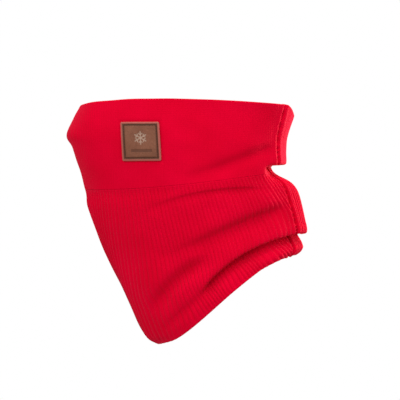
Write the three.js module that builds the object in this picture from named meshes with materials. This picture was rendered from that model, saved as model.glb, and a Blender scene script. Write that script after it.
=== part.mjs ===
/*
 * Knitted neck gaiter for skiing and snowboarding, worn pulled up over the nose.
 *
 * Two red knitted side panels per level (a smooth jersey face band above, a ribbed collar below that runs down
 * to a point on the chest) are sewn together at centre front and centre back, over a fleece lining, with a
 * leather patch on the wearer's left and a folded care label inside the nape.
 *
 * Frame: millimetres, +Z up. The wearer faces -X, so the wearer's left is -Y. The origin is the middle of the
 * neck opening, level with the line where the face band meets the collar.
 *
 * Every cloth piece is a slab of one shaped tube. A place on the tube is (turn, drop): turn runs once round
 * from 0 at centre front over 1 at centre back, by the wearer's left, to 2, and drop runs from 0 at the rim
 * to 1 at the hem.
 */
import * as THREE from 'three';

// ---- Driving dimensions ------------------------------------------------------------------------------------

// Thickness of the knit and of the fleece, and the slack between the two layers.
const KNIT = 2.5;
const FLEECE = 2.0;
const SLACK = 1.6;

// The rings that shape the tube. Each is half an outline seen from the wearer's left, as [x, z] of centre
// front, two shaping points and centre back, with half the ring's width.
const RINGS = [
  { drop: 0.00, outline: [[-113.5, 83.5], [-56, 92.5], [50, 85.5], [112, 81.5]], halfWidth: 56 }, // rim
  { drop: 0.05, outline: [[-119.5, 70.5], [-60, 78], [46, 73], [108.5, 70]], halfWidth: 57 },
  { drop: 0.13, outline: [[-126.5, 51], [-60, 54], [42, 52], [104, 50]], halfWidth: 59 }, // tip of the nose
  { drop: 0.20, outline: [[-121, 38.5], [-60, 39], [40, 39], [103.5, 38]], halfWidth: 60 }, // upper lip
  { drop: 0.37, outline: [[-106.5, -6], [-40, -8], [40, 4], [104, 13]], halfWidth: 60 }, // band meets collar
  { drop: 0.47, outline: [[-104.5, -25], [-45, -28], [36, -7], [115.5, -8]], halfWidth: 61 }, // chin
  { drop: 0.62, outline: [[-88.5, -66], [-40, -79], [50, -48], [123, -36]], halfWidth: 63 }, // throat
  { drop: 0.80, outline: [[-69.5, -107], [-30, -120], [50, -70], [123.5, -54]], halfWidth: 66 }, // collar bones
  { drop: 0.93, outline: [[-50.5, -149], [-12, -147], [52, -79], [122, -66]], halfWidth: 68 },
  { drop: 0.97, outline: [[-42, -161.5], [-4, -158], [53, -81], [118, -71]], halfWidth: 68.5 },
  { drop: 1.00, outline: [[-31, -168], [6, -168], [54, -80], [112, -75]], halfWidth: 69 }, // hem
];

// The dip of the rim at centre back: its depth, how far it goes to either side in turns, and down in drop.
const NAPE_DIP = { depth: 9.5, reach: 0.135, down: 0.17 };

// How much wider the back half of a ring is than the front half, as a share.
const EGG = 0.12;

// Where the knit gives way to a crease: its route seen from the side ([x, z] from its shallow front end to its
// back end), its depth and its half width.
const CREASES = [
  { route: [[-15, 3], [30, 13], [55, 26], [95, 40]], depth: 2.5, reach: 8 }, // behind the jaw
  { route: [[58, 13], [75, 13], [90, 16], [108, 16]], depth: 13, reach: 8 }, // under the band, at the nape
  { route: [[-62, -35], [-15, -14], [25, -4], [90, -6]], depth: 1.5, reach: 6 }, // below the band
  { route: [[-40, -77], [0, -71], [45, -42], [106, -23]], depth: 4.5, reach: 10 }, // round the throat
  { route: [[-40, -137], [-28, -108], [-5, -85], [28, -73]], depth: 3.5, reach: 9 }, // on the chest
  { route: [[14, -120], [32, -92], [72, -63], [121, -56]], depth: 7.5, reach: 8 }, // above the hem
  { route: [[-32, -158], [-18, -141], [0, -127], [24, -106]], depth: 1.5, reach: 6 }, // down to the point
];
const CREASE_RISE = 0.4; // share of a crease's route over which it reaches its depth
const CREASE_STEPS = 16; // straight pieces of a crease's route

// Seams. The gaiter sits slightly turned on the head, so both seams lie off centre towards the viewer's right.
const FRONT_SEAM = -0.03; // turn of the centre front seam
const BACK_SEAM = 0.855; // turn of the back seam
const BAND_END = 0.37; // drop where the face band ends and the collar begins
const SEAM_HALF_GAP = 0.9; // half the gap between two panels, which the seam thread lies in
const LINK_HALF_GAP = 0.005; // the same between band and collar, in drop
const LINING_INSET = [0.014, 0.985]; // drops between which the lining runs
const RIM_STITCH = 0.03; // drop of the stitching that holds the lining at the rim
const HEM_STITCH = 0.965; // the same at the hem
const THREAD_RADIUS = 0.3;
const THREAD_SIDES = 6;

// Mesh density, in cells.
const COLUMNS = 20; // across one side panel
const BAND_ROWS = 8;
const COLLAR_ROWS = 13; // down to the hem stitching

// Leather patch on the wearer's left cheek.
const PATCH = { x: -49.5, z: 44.5, side: 40, thick: 1.8, cells: 6, stitchInset: 2.4, lift: 0.4 };
const BACKING = { side: 36, thick: 0.4, depth: KNIT + 0.5, cells: 6 };

// Care label inside the nape, hanging from its stitched top edge.
const LABEL = { width: 24, height: 30, thick: 0.8, top: 66, gap: 0.8, stitch: 0.6 };

const COLOURS = {
  knit: { color: 0xdb0024, roughness: 0.9, metalness: 0 },
  rib: { color: 0xd20022, roughness: 0.92, metalness: 0 },
  fleece: { color: 0xb3001c, roughness: 0.95, metalness: 0 },
  thread: { color: 0xa8001b, roughness: 0.8, metalness: 0 },
  leather: { color: 0x8a5536, roughness: 0.6, metalness: 0 },
  patchThread: { color: 0x5b3422, roughness: 0.75, metalness: 0 },
  felt: { color: 0xd8d2c8, roughness: 0.95, metalness: 0 },
  satin: { color: 0xf2efe9, roughness: 0.5, metalness: 0 },
};

// ---- The shaped tube ---------------------------------------------------------------------------------------

/** A smooth curve through values given at ascending places, read at one place. */
function through(places, values, at) {
  const last = places.length - 1;
  let i = 0;
  while (i < last - 1 && at > places[i + 1]) i += 1;
  const slope = (k) => {
    const [a, b] = [Math.max(k - 1, 0), Math.min(k + 1, last)];
    return (values[b] - values[a]) / (places[b] - places[a]);
  };
  const span = places[i + 1] - places[i];
  const s = (at - places[i]) / span;
  const [s2, s3] = [s * s, s * s * s];
  return (2 * s3 - 3 * s2 + 1) * values[i] + (s3 - 2 * s2 + s) * span * slope(i)
    + (3 * s2 - 2 * s3) * values[i + 1] + (s3 - s2) * span * slope(i + 1);
}

/** A point of the cubic curve that four control values shape. */
function cubic(p, t) {
  const r = 1 - t;
  return r * r * r * p[0] + 3 * r * r * t * p[1] + 3 * r * t * t * p[2] + t * t * t * p[3];
}

const DROPS = RINGS.map((ring) => ring.drop);

/** The control values of one axis (0 for x, 1 for z) at a drop. */
function controls(axis, drop) {
  return [0, 1, 2, 3].map((k) => through(DROPS, RINGS.map((ring) => ring.outline[k][axis]), drop));
}

/** A point of the smooth tube, before creases. */
function smoothPoint(turn, drop) {
  const angle = Math.PI * turn;
  const t = (1 - Math.cos(angle)) / 2;
  const halfWidth = through(DROPS, RINGS.map((ring) => ring.halfWidth), drop);
  const y = -halfWidth * Math.sin(angle) * (1 - EGG * Math.cos(angle));
  const { smoothstep } = THREE.MathUtils;
  const nearNape = 1 - smoothstep(Math.abs(turn - 1), 0, NAPE_DIP.reach);
  const dip = NAPE_DIP.depth * nearNape * (1 - smoothstep(drop, 0, NAPE_DIP.down));
  return new THREE.Vector3(cubic(controls(0, drop), t), y, cubic(controls(1, drop), t) - dip);
}

/** The tube's outward direction at a place. */
function outward(turn, drop) {
  const step = 0.004;
  const around = smoothPoint(turn + step, drop).sub(smoothPoint(turn - step, drop));
  const down = smoothPoint(turn, drop + step).sub(smoothPoint(turn, drop - step));
  return down.cross(around).normalize();
}

const ROUTES = CREASES.map(({ route }) => Array.from({ length: CREASE_STEPS + 1 }, (_, i) => {
  const t = i / CREASE_STEPS;
  return new THREE.Vector2(cubic(route.map((p) => p[0]), t), cubic(route.map((p) => p[1]), t));
}));

/** How deep the creases draw the knit in, at a point seen from the side. */
function creaseDepth(x, z) {
  const here = new THREE.Vector2(x, z);
  return CREASES.reduce((sum, { depth, reach }, k) => {
    let nearest = Infinity;
    let along = 0;
    ROUTES[k].forEach((p, i) => {
      const d = p.distanceTo(here);
      if (d < nearest) [nearest, along] = [d, i / CREASE_STEPS];
    });
    const fade = THREE.MathUtils.smoothstep(along, 0, CREASE_RISE);
    return sum + depth * fade * Math.exp(-((nearest / reach) ** 2));
  }, 0);
}

/** A point of a layer: outside the tube's surface by offset, or inside it where offset is negative. */
function layerPoint(turn, drop, offset) {
  const p = smoothPoint(turn, drop);
  return p.addScaledVector(outward(turn, drop), offset - creaseDepth(p.x, p.z));
}

/** How much turn makes one seam's half gap at a place. */
function gapTurn(turn, drop) {
  const step = 0.004;
  return (SEAM_HALF_GAP * 2 * step) / smoothPoint(turn + step, drop).distanceTo(smoothPoint(turn - step, drop));
}

/** The turns of the two side panels' edges at a drop. */
const PANEL_EDGES = {
  left: (drop) => [
    FRONT_SEAM + gapTurn(FRONT_SEAM, drop),
    BACK_SEAM - gapTurn(BACK_SEAM, drop),
  ],
  right: (drop) => [
    BACK_SEAM + gapTurn(BACK_SEAM, drop),
    2 + FRONT_SEAM - gapTurn(FRONT_SEAM, drop),
  ],
};

/** The place on the wearer's left side that is seen at x, z from the side. */
function placeAt(x, z) {
  let [turn, drop] = [0.5, 0.2];
  const step = 0.002;
  for (let i = 0; i < 12; i += 1) {
    const p = smoothPoint(turn, drop);
    const a = smoothPoint(turn + step, drop).sub(p).divideScalar(step);
    const b = smoothPoint(turn, drop + step).sub(p).divideScalar(step);
    const [dx, dz] = [x - p.x, z - p.z];
    const det = a.x * b.z - b.x * a.z;
    turn += (dx * b.z - b.x * dz) / det;
    drop += (a.x * dz - dx * a.z) / det;
  }
  return [turn, drop];
}

// ---- Solids ------------------------------------------------------------------------------------------------

/** A geometry from points and triangles, turned so that its faces point out. */
function closedGeometry(points, triangles) {
  let volume = 0;
  for (const [a, b, c] of triangles) {
    volume += points[a].dot(new THREE.Vector3().crossVectors(points[b], points[c]));
  }
  const faces = volume < 0 ? triangles.map(([a, b, c]) => [a, c, b]) : triangles;
  const geometry = new THREE.BufferGeometry().setFromPoints(points);
  geometry.setIndex(faces.flat());
  geometry.computeVertexNormals();
  return geometry;
}

/**
 * A slab: two grids of points, outer and inner, joined round their rims. place(i, j) gives the point of a
 * layer at column i of columns and row j of rows, for an offset.
 */
function slab(columns, rows, outer, inner, place) {
  const points = [];
  const triangles = [];
  const index = (layer, i, j) => layer * (columns + 1) * (rows + 1) + j * (columns + 1) + i;
  for (const offset of [outer, inner]) {
    for (let j = 0; j <= rows; j += 1) {
      for (let i = 0; i <= columns; i += 1) points.push(place(i / columns, j / rows, offset));
    }
  }
  const quad = (a, b, c, d) => triangles.push([a, b, c], [a, c, d]);
  for (let j = 0; j < rows; j += 1) {
    for (let i = 0; i < columns; i += 1) {
      quad(index(0, i, j), index(0, i, j + 1), index(0, i + 1, j + 1), index(0, i + 1, j));
      const [a, b, c, d] = [index(1, i, j), index(1, i, j + 1), index(1, i + 1, j + 1), index(1, i + 1, j)];
      triangles.push([a, c, b], [a, d, c]);
    }
  }
  for (let i = 0; i < columns; i += 1) {
    quad(index(0, i, 0), index(0, i + 1, 0), index(1, i + 1, 0), index(1, i, 0));
    quad(index(0, i + 1, rows), index(0, i, rows), index(1, i, rows), index(1, i + 1, rows));
  }
  for (let j = 0; j < rows; j += 1) {
    quad(index(0, 0, j + 1), index(0, 0, j), index(1, 0, j), index(1, 0, j + 1));
    quad(index(0, columns, j), index(0, columns, j + 1), index(1, columns, j + 1), index(1, columns, j));
  }
  return closedGeometry(points, triangles);
}

/** Evenly spaced drops from one to another. */
function evenly(top, bottom, rows) {
  return Array.from({ length: rows + 1 }, (_, j) => THREE.MathUtils.lerp(top, bottom, j / rows));
}

/** A side panel of a layer between its two seams, with a row of cells between each drop and the next. */
function panel(side, drops, outer, inner) {
  const rows = drops.length - 1;
  return slab(COLUMNS, rows, outer, inner, (i, j, offset) => {
    const drop = drops[Math.round(j * rows)];
    const [from, to] = PANEL_EDGES[side](drop);
    return layerPoint(THREE.MathUtils.lerp(from, to, i), drop, offset);
  });
}

/** A thread: a thin tube through points, each given with the direction that its section's first side takes. */
function thread(stops) {
  const points = [];
  const triangles = [];
  stops.forEach(({ at, up }, k) => {
    const before = stops[Math.max(k - 1, 0)].at;
    const after = stops[Math.min(k + 1, stops.length - 1)].at;
    const along = new THREE.Vector3().subVectors(after, before).normalize();
    const side = new THREE.Vector3().crossVectors(along, up).normalize();
    const rise = new THREE.Vector3().crossVectors(side, along);
    for (let s = 0; s < THREAD_SIDES; s += 1) {
      const angle = (2 * Math.PI * s) / THREAD_SIDES;
      points.push(at.clone()
        .addScaledVector(side, THREAD_RADIUS * Math.cos(angle))
        .addScaledVector(rise, THREAD_RADIUS * Math.sin(angle)));
    }
  });
  for (let k = 0; k < stops.length - 1; k += 1) {
    for (let s = 0; s < THREAD_SIDES; s += 1) {
      const next = (s + 1) % THREAD_SIDES;
      const [a, b] = [k * THREAD_SIDES + s, k * THREAD_SIDES + next];
      triangles.push([a, b, b + THREAD_SIDES], [a, b + THREAD_SIDES, a + THREAD_SIDES]);
    }
  }
  const end = (stops.length - 1) * THREAD_SIDES;
  for (let s = 1; s < THREAD_SIDES - 1; s += 1) {
    triangles.push([0, s + 1, s], [end, end + s, end + s + 1]);
  }
  return closedGeometry(points, triangles);
}

/** A thread that runs down a seam inside a layer. */
function seamThread(seam, drops, offset) {
  return thread(drops.map((drop) => (
    { at: layerPoint(seam, drop, offset), up: outward(seam, drop) }
  )));
}

/** A thread that runs round the tube at one drop. It starts and ends at centre front, a few millimetres apart. */
function ringThread(drop, offset) {
  const stops = [];
  const ends = 0.02;
  for (const side of ['left', 'right']) {
    const [from, to] = PANEL_EDGES[side](drop);
    for (let i = 0; i <= COLUMNS; i += 1) {
      const turn = THREE.MathUtils.lerp(from, to, i / COLUMNS);
      const clear = THREE.MathUtils.clamp(turn, FRONT_SEAM + ends, 2 + FRONT_SEAM - ends);
      stops.push({ at: layerPoint(clear, drop, offset), up: outward(clear, drop) });
    }
  }
  return thread(stops);
}

/** A square piece that lies against the wearer's left cheek, centred on the patch. */
function cheekSquare(side, cells, outer, inner) {
  return slab(cells, cells, outer, inner, (i, j, offset) => {
    const x = PATCH.x + (i - 0.5) * side;
    const z = PATCH.z - (j - 0.5) * side;
    return layerPoint(...placeAt(x, z), offset);
  });
}

/** The ring of stitching just inside the patch's edge, lying on the leather. It starts and ends at one corner. */
function patchStitching() {
  const half = PATCH.side / 2 - PATCH.stitchInset;
  const offset = PATCH.lift + PATCH.thick + 2 * THREAD_RADIUS;
  const corners = [[-half, half], [half, half], [half, -half], [-half, -half], [-half, half - 2]];
  const stops = [];
  for (let k = 0; k < corners.length - 1; k += 1) {
    for (let i = 0; i < PATCH.cells; i += 1) {
      const x = THREE.MathUtils.lerp(corners[k][0], corners[k + 1][0], i / PATCH.cells);
      const z = THREE.MathUtils.lerp(corners[k][1], corners[k + 1][1], i / PATCH.cells);
      const place = placeAt(PATCH.x + x, PATCH.z + z);
      stops.push({ at: layerPoint(...place, offset), up: outward(...place) });
    }
  }
  return thread(stops);
}

/** The x of the lining's inner face at the nape, where it comes furthest forward behind the label. */
function napeX() {
  let x = Infinity;
  for (let i = -6; i <= 6; i += 1) {
    for (let j = 0; j <= 12; j += 1) {
      x = Math.min(x, layerPoint(1 + i * 0.012, 0.04 + j * 0.02, -(KNIT + SLACK + FLEECE)).x);
    }
  }
  return x;
}

/** A box between two corners. */
function boxBetween(low, high) {
  const size = high.map((value, k) => value - low[k]);
  const geometry = new THREE.BoxGeometry(...size);
  geometry.translate(...low.map((value, k) => value + size[k] / 2));
  return geometry;
}

// ---- Assembly ----------------------------------------------------------------------------------------------

const BAND_DROPS = evenly(0, BAND_END - LINK_HALF_GAP, BAND_ROWS);
const COLLAR_DROPS = [...evenly(BAND_END + LINK_HALF_GAP, HEM_STITCH, COLLAR_ROWS), 1];
const LINING_DROPS = [LINING_INSET[0], ...BAND_DROPS.slice(1), ...COLLAR_DROPS.slice(0, -1), LINING_INSET[1]];

const gaiter = new THREE.Group();

/** Adds a named piece with its finish. */
function add(name, geometry, finish) {
  const mesh = new THREE.Mesh(geometry, new THREE.MeshStandardMaterial(finish));
  mesh.name = name;
  gaiter.add(mesh);
}

/** The outer knit: the face band and the collar, each of two side panels. */
function addKnit() {
  for (const side of ['left', 'right']) {
    add(`band_${side}`, panel(side, BAND_DROPS, 0, -KNIT), COLOURS.knit);
    add(`rib_${side}`, panel(side, COLLAR_DROPS, 0, -KNIT), COLOURS.rib);
  }
}

/** The fleece lining, of two side panels that run from rim to hem. */
function addLining() {
  const outer = -(KNIT + SLACK);
  for (const side of ['left', 'right']) {
    add(`lining_${side}`, panel(side, LINING_DROPS, outer, outer - FLEECE), COLOURS.fleece);
  }
}

/** The threads: down the seams of band, collar and lining, and round rim, link line and hem. */
function addThreads() {
  const band = [...BAND_DROPS.slice(0, -1), BAND_END - 2 * LINK_HALF_GAP];
  const collar = [BAND_END + 2 * LINK_HALF_GAP, ...COLLAR_DROPS.slice(1)];
  const seams = { front: FRONT_SEAM, back: BACK_SEAM };
  for (const [name, seam] of Object.entries(seams)) {
    add(`band_${name}_seam_thread`, seamThread(seam, band, -KNIT / 2), COLOURS.thread);
    add(`rib_${name}_seam_thread`, seamThread(seam, collar, -KNIT / 2), COLOURS.thread);
    const middle = -(KNIT + SLACK + FLEECE / 2);
    add(`lining_${name}_seam_thread`, seamThread(seam, LINING_DROPS, middle), COLOURS.thread);
  }
  const between = -(KNIT + SLACK / 2);
  add('rim_thread', ringThread(RIM_STITCH, between), COLOURS.thread);
  add('linking_thread', ringThread(BAND_END, -KNIT / 2), COLOURS.thread);
  add('hem_thread', ringThread(HEM_STITCH, between), COLOURS.thread);
}

/** The leather patch, its stitching, and the felt that backs it behind the knit. */
function addPatch() {
  const { side, cells, lift, thick } = PATCH;
  add('leather_patch', cheekSquare(side, cells, lift + thick, lift), COLOURS.leather);
  add('patch_stitching', patchStitching(), COLOURS.patchThread);
  const { depth } = BACKING;
  add('patch_backing', cheekSquare(BACKING.side, BACKING.cells, -depth, -depth - BACKING.thick), COLOURS.felt);
}

/** The care label and the row of stitches that holds its top edge. */
function addLabel() {
  const { width, height, thick, top, gap, stitch } = LABEL;
  const back = napeX() - gap;
  const half = width / 2;
  add('care_label', boxBetween([back - thick, -half, top - height], [back, half, top]), COLOURS.satin);
  add('label_thread', boxBetween([back - thick, -half, top + stitch], [back, half, top + 2 * stitch]), COLOURS.thread);
}

addKnit();
addLining();
addThreads();
addPatch();
addLabel();

export default gaiter;
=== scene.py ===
"""Looks of a red knitted neck gaiter.

It has a jersey face band, a ribbed collar, a fleece lining, a leather patch and a care label. The
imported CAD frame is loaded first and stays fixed. Every cloth piece is then made as fine mesh on
one shaped tube and stands for its plain CAD solid. Lengths in the code are millimetres and become
metres when a mesh is made; only the studio's are metres. The wearer faces -X, the wearer's left
is -Y and +Z is up.

A place on the tube is (turn, drop). Turn runs once round: 0 is centre front, 1 is centre back,
reached by the wearer's left, and 2 is centre front again. Drop runs from 0 at the rim to 1 at
the hem.
"""

import logging
import math
from dataclasses import dataclass, field
from enum import Enum
from typing import Sequence

import bpy
import numpy as np
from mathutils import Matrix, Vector


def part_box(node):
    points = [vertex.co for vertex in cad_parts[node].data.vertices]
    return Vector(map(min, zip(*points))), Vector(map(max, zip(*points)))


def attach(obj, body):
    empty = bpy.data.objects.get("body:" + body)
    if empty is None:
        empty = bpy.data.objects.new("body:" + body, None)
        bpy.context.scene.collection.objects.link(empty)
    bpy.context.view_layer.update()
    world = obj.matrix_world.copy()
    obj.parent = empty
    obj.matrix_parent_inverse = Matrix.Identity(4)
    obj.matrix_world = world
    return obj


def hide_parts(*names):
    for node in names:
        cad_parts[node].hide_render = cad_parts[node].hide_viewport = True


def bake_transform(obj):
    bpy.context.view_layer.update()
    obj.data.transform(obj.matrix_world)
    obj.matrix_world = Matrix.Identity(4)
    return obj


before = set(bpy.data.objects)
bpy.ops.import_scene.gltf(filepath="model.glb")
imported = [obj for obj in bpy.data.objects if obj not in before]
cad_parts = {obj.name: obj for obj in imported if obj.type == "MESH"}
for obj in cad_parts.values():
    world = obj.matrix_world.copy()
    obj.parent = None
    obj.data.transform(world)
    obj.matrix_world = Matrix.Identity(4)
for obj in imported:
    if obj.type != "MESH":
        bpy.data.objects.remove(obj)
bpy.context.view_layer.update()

Array = np.ndarray
Colour = tuple[float, float, float, float]
MM = 0.001
DOWN_LENGTH = 260  # length of cloth from rim to hem, for the spacing of stitches
TURN_LENGTH = 280  # length of cloth in one unit of turn, for the spacing of stitches
SIDE_TURN = 0.5  # turn of the wearer's left side
BACK_STEP = 3  # cells of a cloth's face for each cell of its back
log = logging.getLogger("gaiter")


class Side(Enum):
    """The side of the wearer that a panel covers."""

    LEFT = "left"
    RIGHT = "right"


class Seam(Enum):
    """The two seams that join the side panels, by the turn each lies at."""

    FRONT = -0.03
    BACK = 0.855


# ---- Curves and fields ----


def smoothstep(value: Array, low: float, high: float) -> Array:
    """A smooth rise from 0 to 1.

    Args:
        value: Where to read it.
        low: Where the rise begins.
        high: Where the rise ends.

    Returns:
        The risen values, from 0 to 1.
    """
    t = np.clip((value - low) / (high - low), 0.0, 1.0)
    return t * t * (3.0 - 2.0 * t)


def fade(value: Array, low: float, high: float) -> Array:
    """A smooth fall from 1 at the low value to 0 at the high one."""
    return 1 - smoothstep(value, low, high)


def bell(distance: Array, width: Array | float) -> Array:
    """A soft bump, 1 at no distance and nearly 0 at twice the width."""
    return np.exp(-np.square(distance / width))


def unit(vectors: Array) -> Array:
    """The same directions with length 1."""
    return vectors / np.maximum(np.linalg.norm(vectors, axis=-1, keepdims=True), 1e-9)


def bezier_weights(t: Array) -> Array:
    """The weights of a cubic curve's four control points, for places on it from 0 to 1."""
    r = 1.0 - t
    return np.stack([r**3, 3 * r * r * t, 3 * r * t * t, t**3], axis=-1)


def through(places: Array, values: Array, at: Array) -> Array:
    """A smooth curve through rows of values at rising places.

    Args:
        places: The rising places.
        values: One row of values a place.
        at: Where to read the curve.

    Returns:
        One row of values for each element of at.
    """
    slopes = np.empty_like(values)
    slopes[1:-1] = (values[2:] - values[:-2]) / (places[2:] - places[:-2])[:, None]
    slopes[0] = (values[1] - values[0]) / (places[1] - places[0])
    slopes[-1] = (values[-1] - values[-2]) / (places[-1] - places[-2])
    i = np.clip(np.searchsorted(places, at) - 1, 0, len(places) - 2)
    span = (places[i + 1] - places[i])[..., None]
    s = (at - places[i])[..., None] / span
    s2, s3 = s * s, s * s * s
    return (
        (2 * s3 - 3 * s2 + 1) * values[i]
        + (s3 - 2 * s2 + s) * span * slopes[i]
        + (3 * s2 - 2 * s3) * values[i + 1]
        + (s3 - s2) * span * slopes[i + 1]
    )


@dataclass(frozen=True)
class Waves:
    """An uneven field that rises and falls smoothly through space, the same on every run.

    Attributes:
        length: Distance between its crests.
        seed: Picks one such field.
        count: How many plain waves it is the sum of.
        spread: Shortest and longest of their paces, as shares.
    """

    length: float
    seed: int
    count: int = 7
    spread: tuple[float, float] = (0.7, 1.4)

    def read(self, points: Array) -> Array:
        """The field's value, about -1 to 1, at each point.

        Args:
            points: Points in the last axis.

        Returns:
            One value a point.
        """
        rng = np.random.default_rng(self.seed)
        ways = unit(rng.normal(size=(self.count, 3)))
        scales = rng.uniform(*self.spread, self.count)
        phases = rng.uniform(0, 2 * math.pi, self.count)
        total = np.zeros(points.shape[:-1])
        for way, scale, phase in zip(ways, scales, phases):
            total += np.sin(points @ way * (2 * math.pi * scale / self.length) + phase)
        return total / math.sqrt(self.count)


# ---- The shaped tube ----


@dataclass(frozen=True)
class Ring:
    """One ring of the tube, as half an outline seen from the wearer's left.

    Attributes:
        drop: Where it lies between rim and hem.
        outline: Centre front, two shaping points and centre back, each as x and z.
        half_width: Half the ring's width across.
    """

    drop: float
    outline: tuple[tuple[float, float], ...]
    half_width: float


@dataclass(frozen=True)
class Crease:
    """A fold that draws the cloth in along a route and tucks it under the cloth above.

    Attributes:
        route: The route seen from the side, from its shallow front end to its back end, as x and z.
        depth: How far the cloth is drawn in.
        above: Reach of the fold above its route.
        below: Reach of the fold below its route.
        tuck: How far the bottom slides up under the cloth above, as a share of the depth.
        swell_above: How far the cloth above stands out.
        swell_below: How far the cloth below stands out.
        rise: Share of the route over which the fold reaches its depth.
        fall: Share of the route after which it fades again, 1 for a fold that runs round the back.
        swell_at: Where the cloth above stands out: a share of the reach above, and a length.
        swell_reach: Half width of that swell, in the same way.
        steps: Straight stretches in which the route is followed.
        softer: How much wider the fold is in a layer behind.
    """

    route: tuple[tuple[float, float], ...]
    depth: float
    above: float
    below: float
    tuck: float = 0.0
    swell_above: float = 0.0
    swell_below: float = 0.0
    rise: float = 0.4
    fall: float = 1.0
    swell_at: tuple[float, float] = (2.2, 2.0)
    swell_reach: tuple[float, float] = (1.6, 2.0)
    steps: int = 40
    softer: float = 1.25

    def follow(self, x: Array, z: Array) -> tuple[Array, Array, Array, Array]:
        """Finds where places seen from the side lie along the route.

        Args:
            x: Their x.
            z: Their z.

        Returns:
            Distance from the route, above it positive, the share of the route reached, and the
            route's upward direction there as x and z.
        """
        line = bezier_weights(np.linspace(0, 1, self.steps + 1)) @ np.array(self.route)
        nearest = np.full(x.shape, np.inf)
        signed, share, up_x, up_z = (np.zeros(x.shape) for _ in range(4))
        for k, (start, end) in enumerate(zip(line[:-1], line[1:])):
            along = end - start
            length = math.hypot(*along)
            reached = (x - start[0]) * along[0] + (z - start[1]) * along[1]
            t = np.clip(reached / length**2, 0, 1)
            off_x, off_z = x - start[0] - t * along[0], z - start[1] - t * along[1]
            distance = np.hypot(off_x, off_z)
            closer = distance < nearest
            nearest = np.where(closer, distance, nearest)
            across = (along[0] * off_z - along[1] * off_x) / length
            signed = np.where(closer, np.where(across >= 0, distance, -distance), signed)
            share = np.where(closer, (k + t) / self.steps, share)
            up_x = np.where(closer, -along[1] / length, up_x)
            up_z = np.where(closer, along[0] / length, up_z)
        return signed, share, up_x, up_z

    def strength(self, share: Array) -> Array:
        """How fully the fold is formed, from 0 to 1, at shares of its route.

        Args:
            share: Shares of the route.

        Returns:
            The strength there.
        """
        formed = smoothstep(share, 0.0, self.rise)
        if self.fall < 1.0:
            formed = formed * fade(share, self.fall, 1.0)
        return formed

    def pull(self, x: Array, z: Array, soft: bool) -> tuple[Array, Array, Array, Array]:
        """How the fold moves the cloth.

        Args:
            x: x of the places, seen from the side.
            z: z of the places.
            soft: Whether to draw the wide shallow fold of a layer behind.

        Returns:
            How far the cloth goes out, how far it slides up, and that upward direction as x and z.
        """
        signed, share, up_x, up_z = self.follow(x, z)
        formed = self.strength(share)
        if soft:
            wide = max(self.above, self.below) * self.softer
            return -self.depth * formed * bell(signed, wide), np.zeros(x.shape), up_x, up_z
        reach = np.where(signed > 0, self.above, self.below)
        draw = self.depth * formed * bell(signed, reach)
        at, reach = (s * self.above + length for s, length in (self.swell_at, self.swell_reach))
        swell = self.swell_above * bell(signed - at, reach)
        at = self.swell_reach[0] * self.below
        swell = swell + self.swell_below * bell(signed + at, self.below)
        return swell * formed - draw, self.tuck * draw, up_x, up_z


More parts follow.
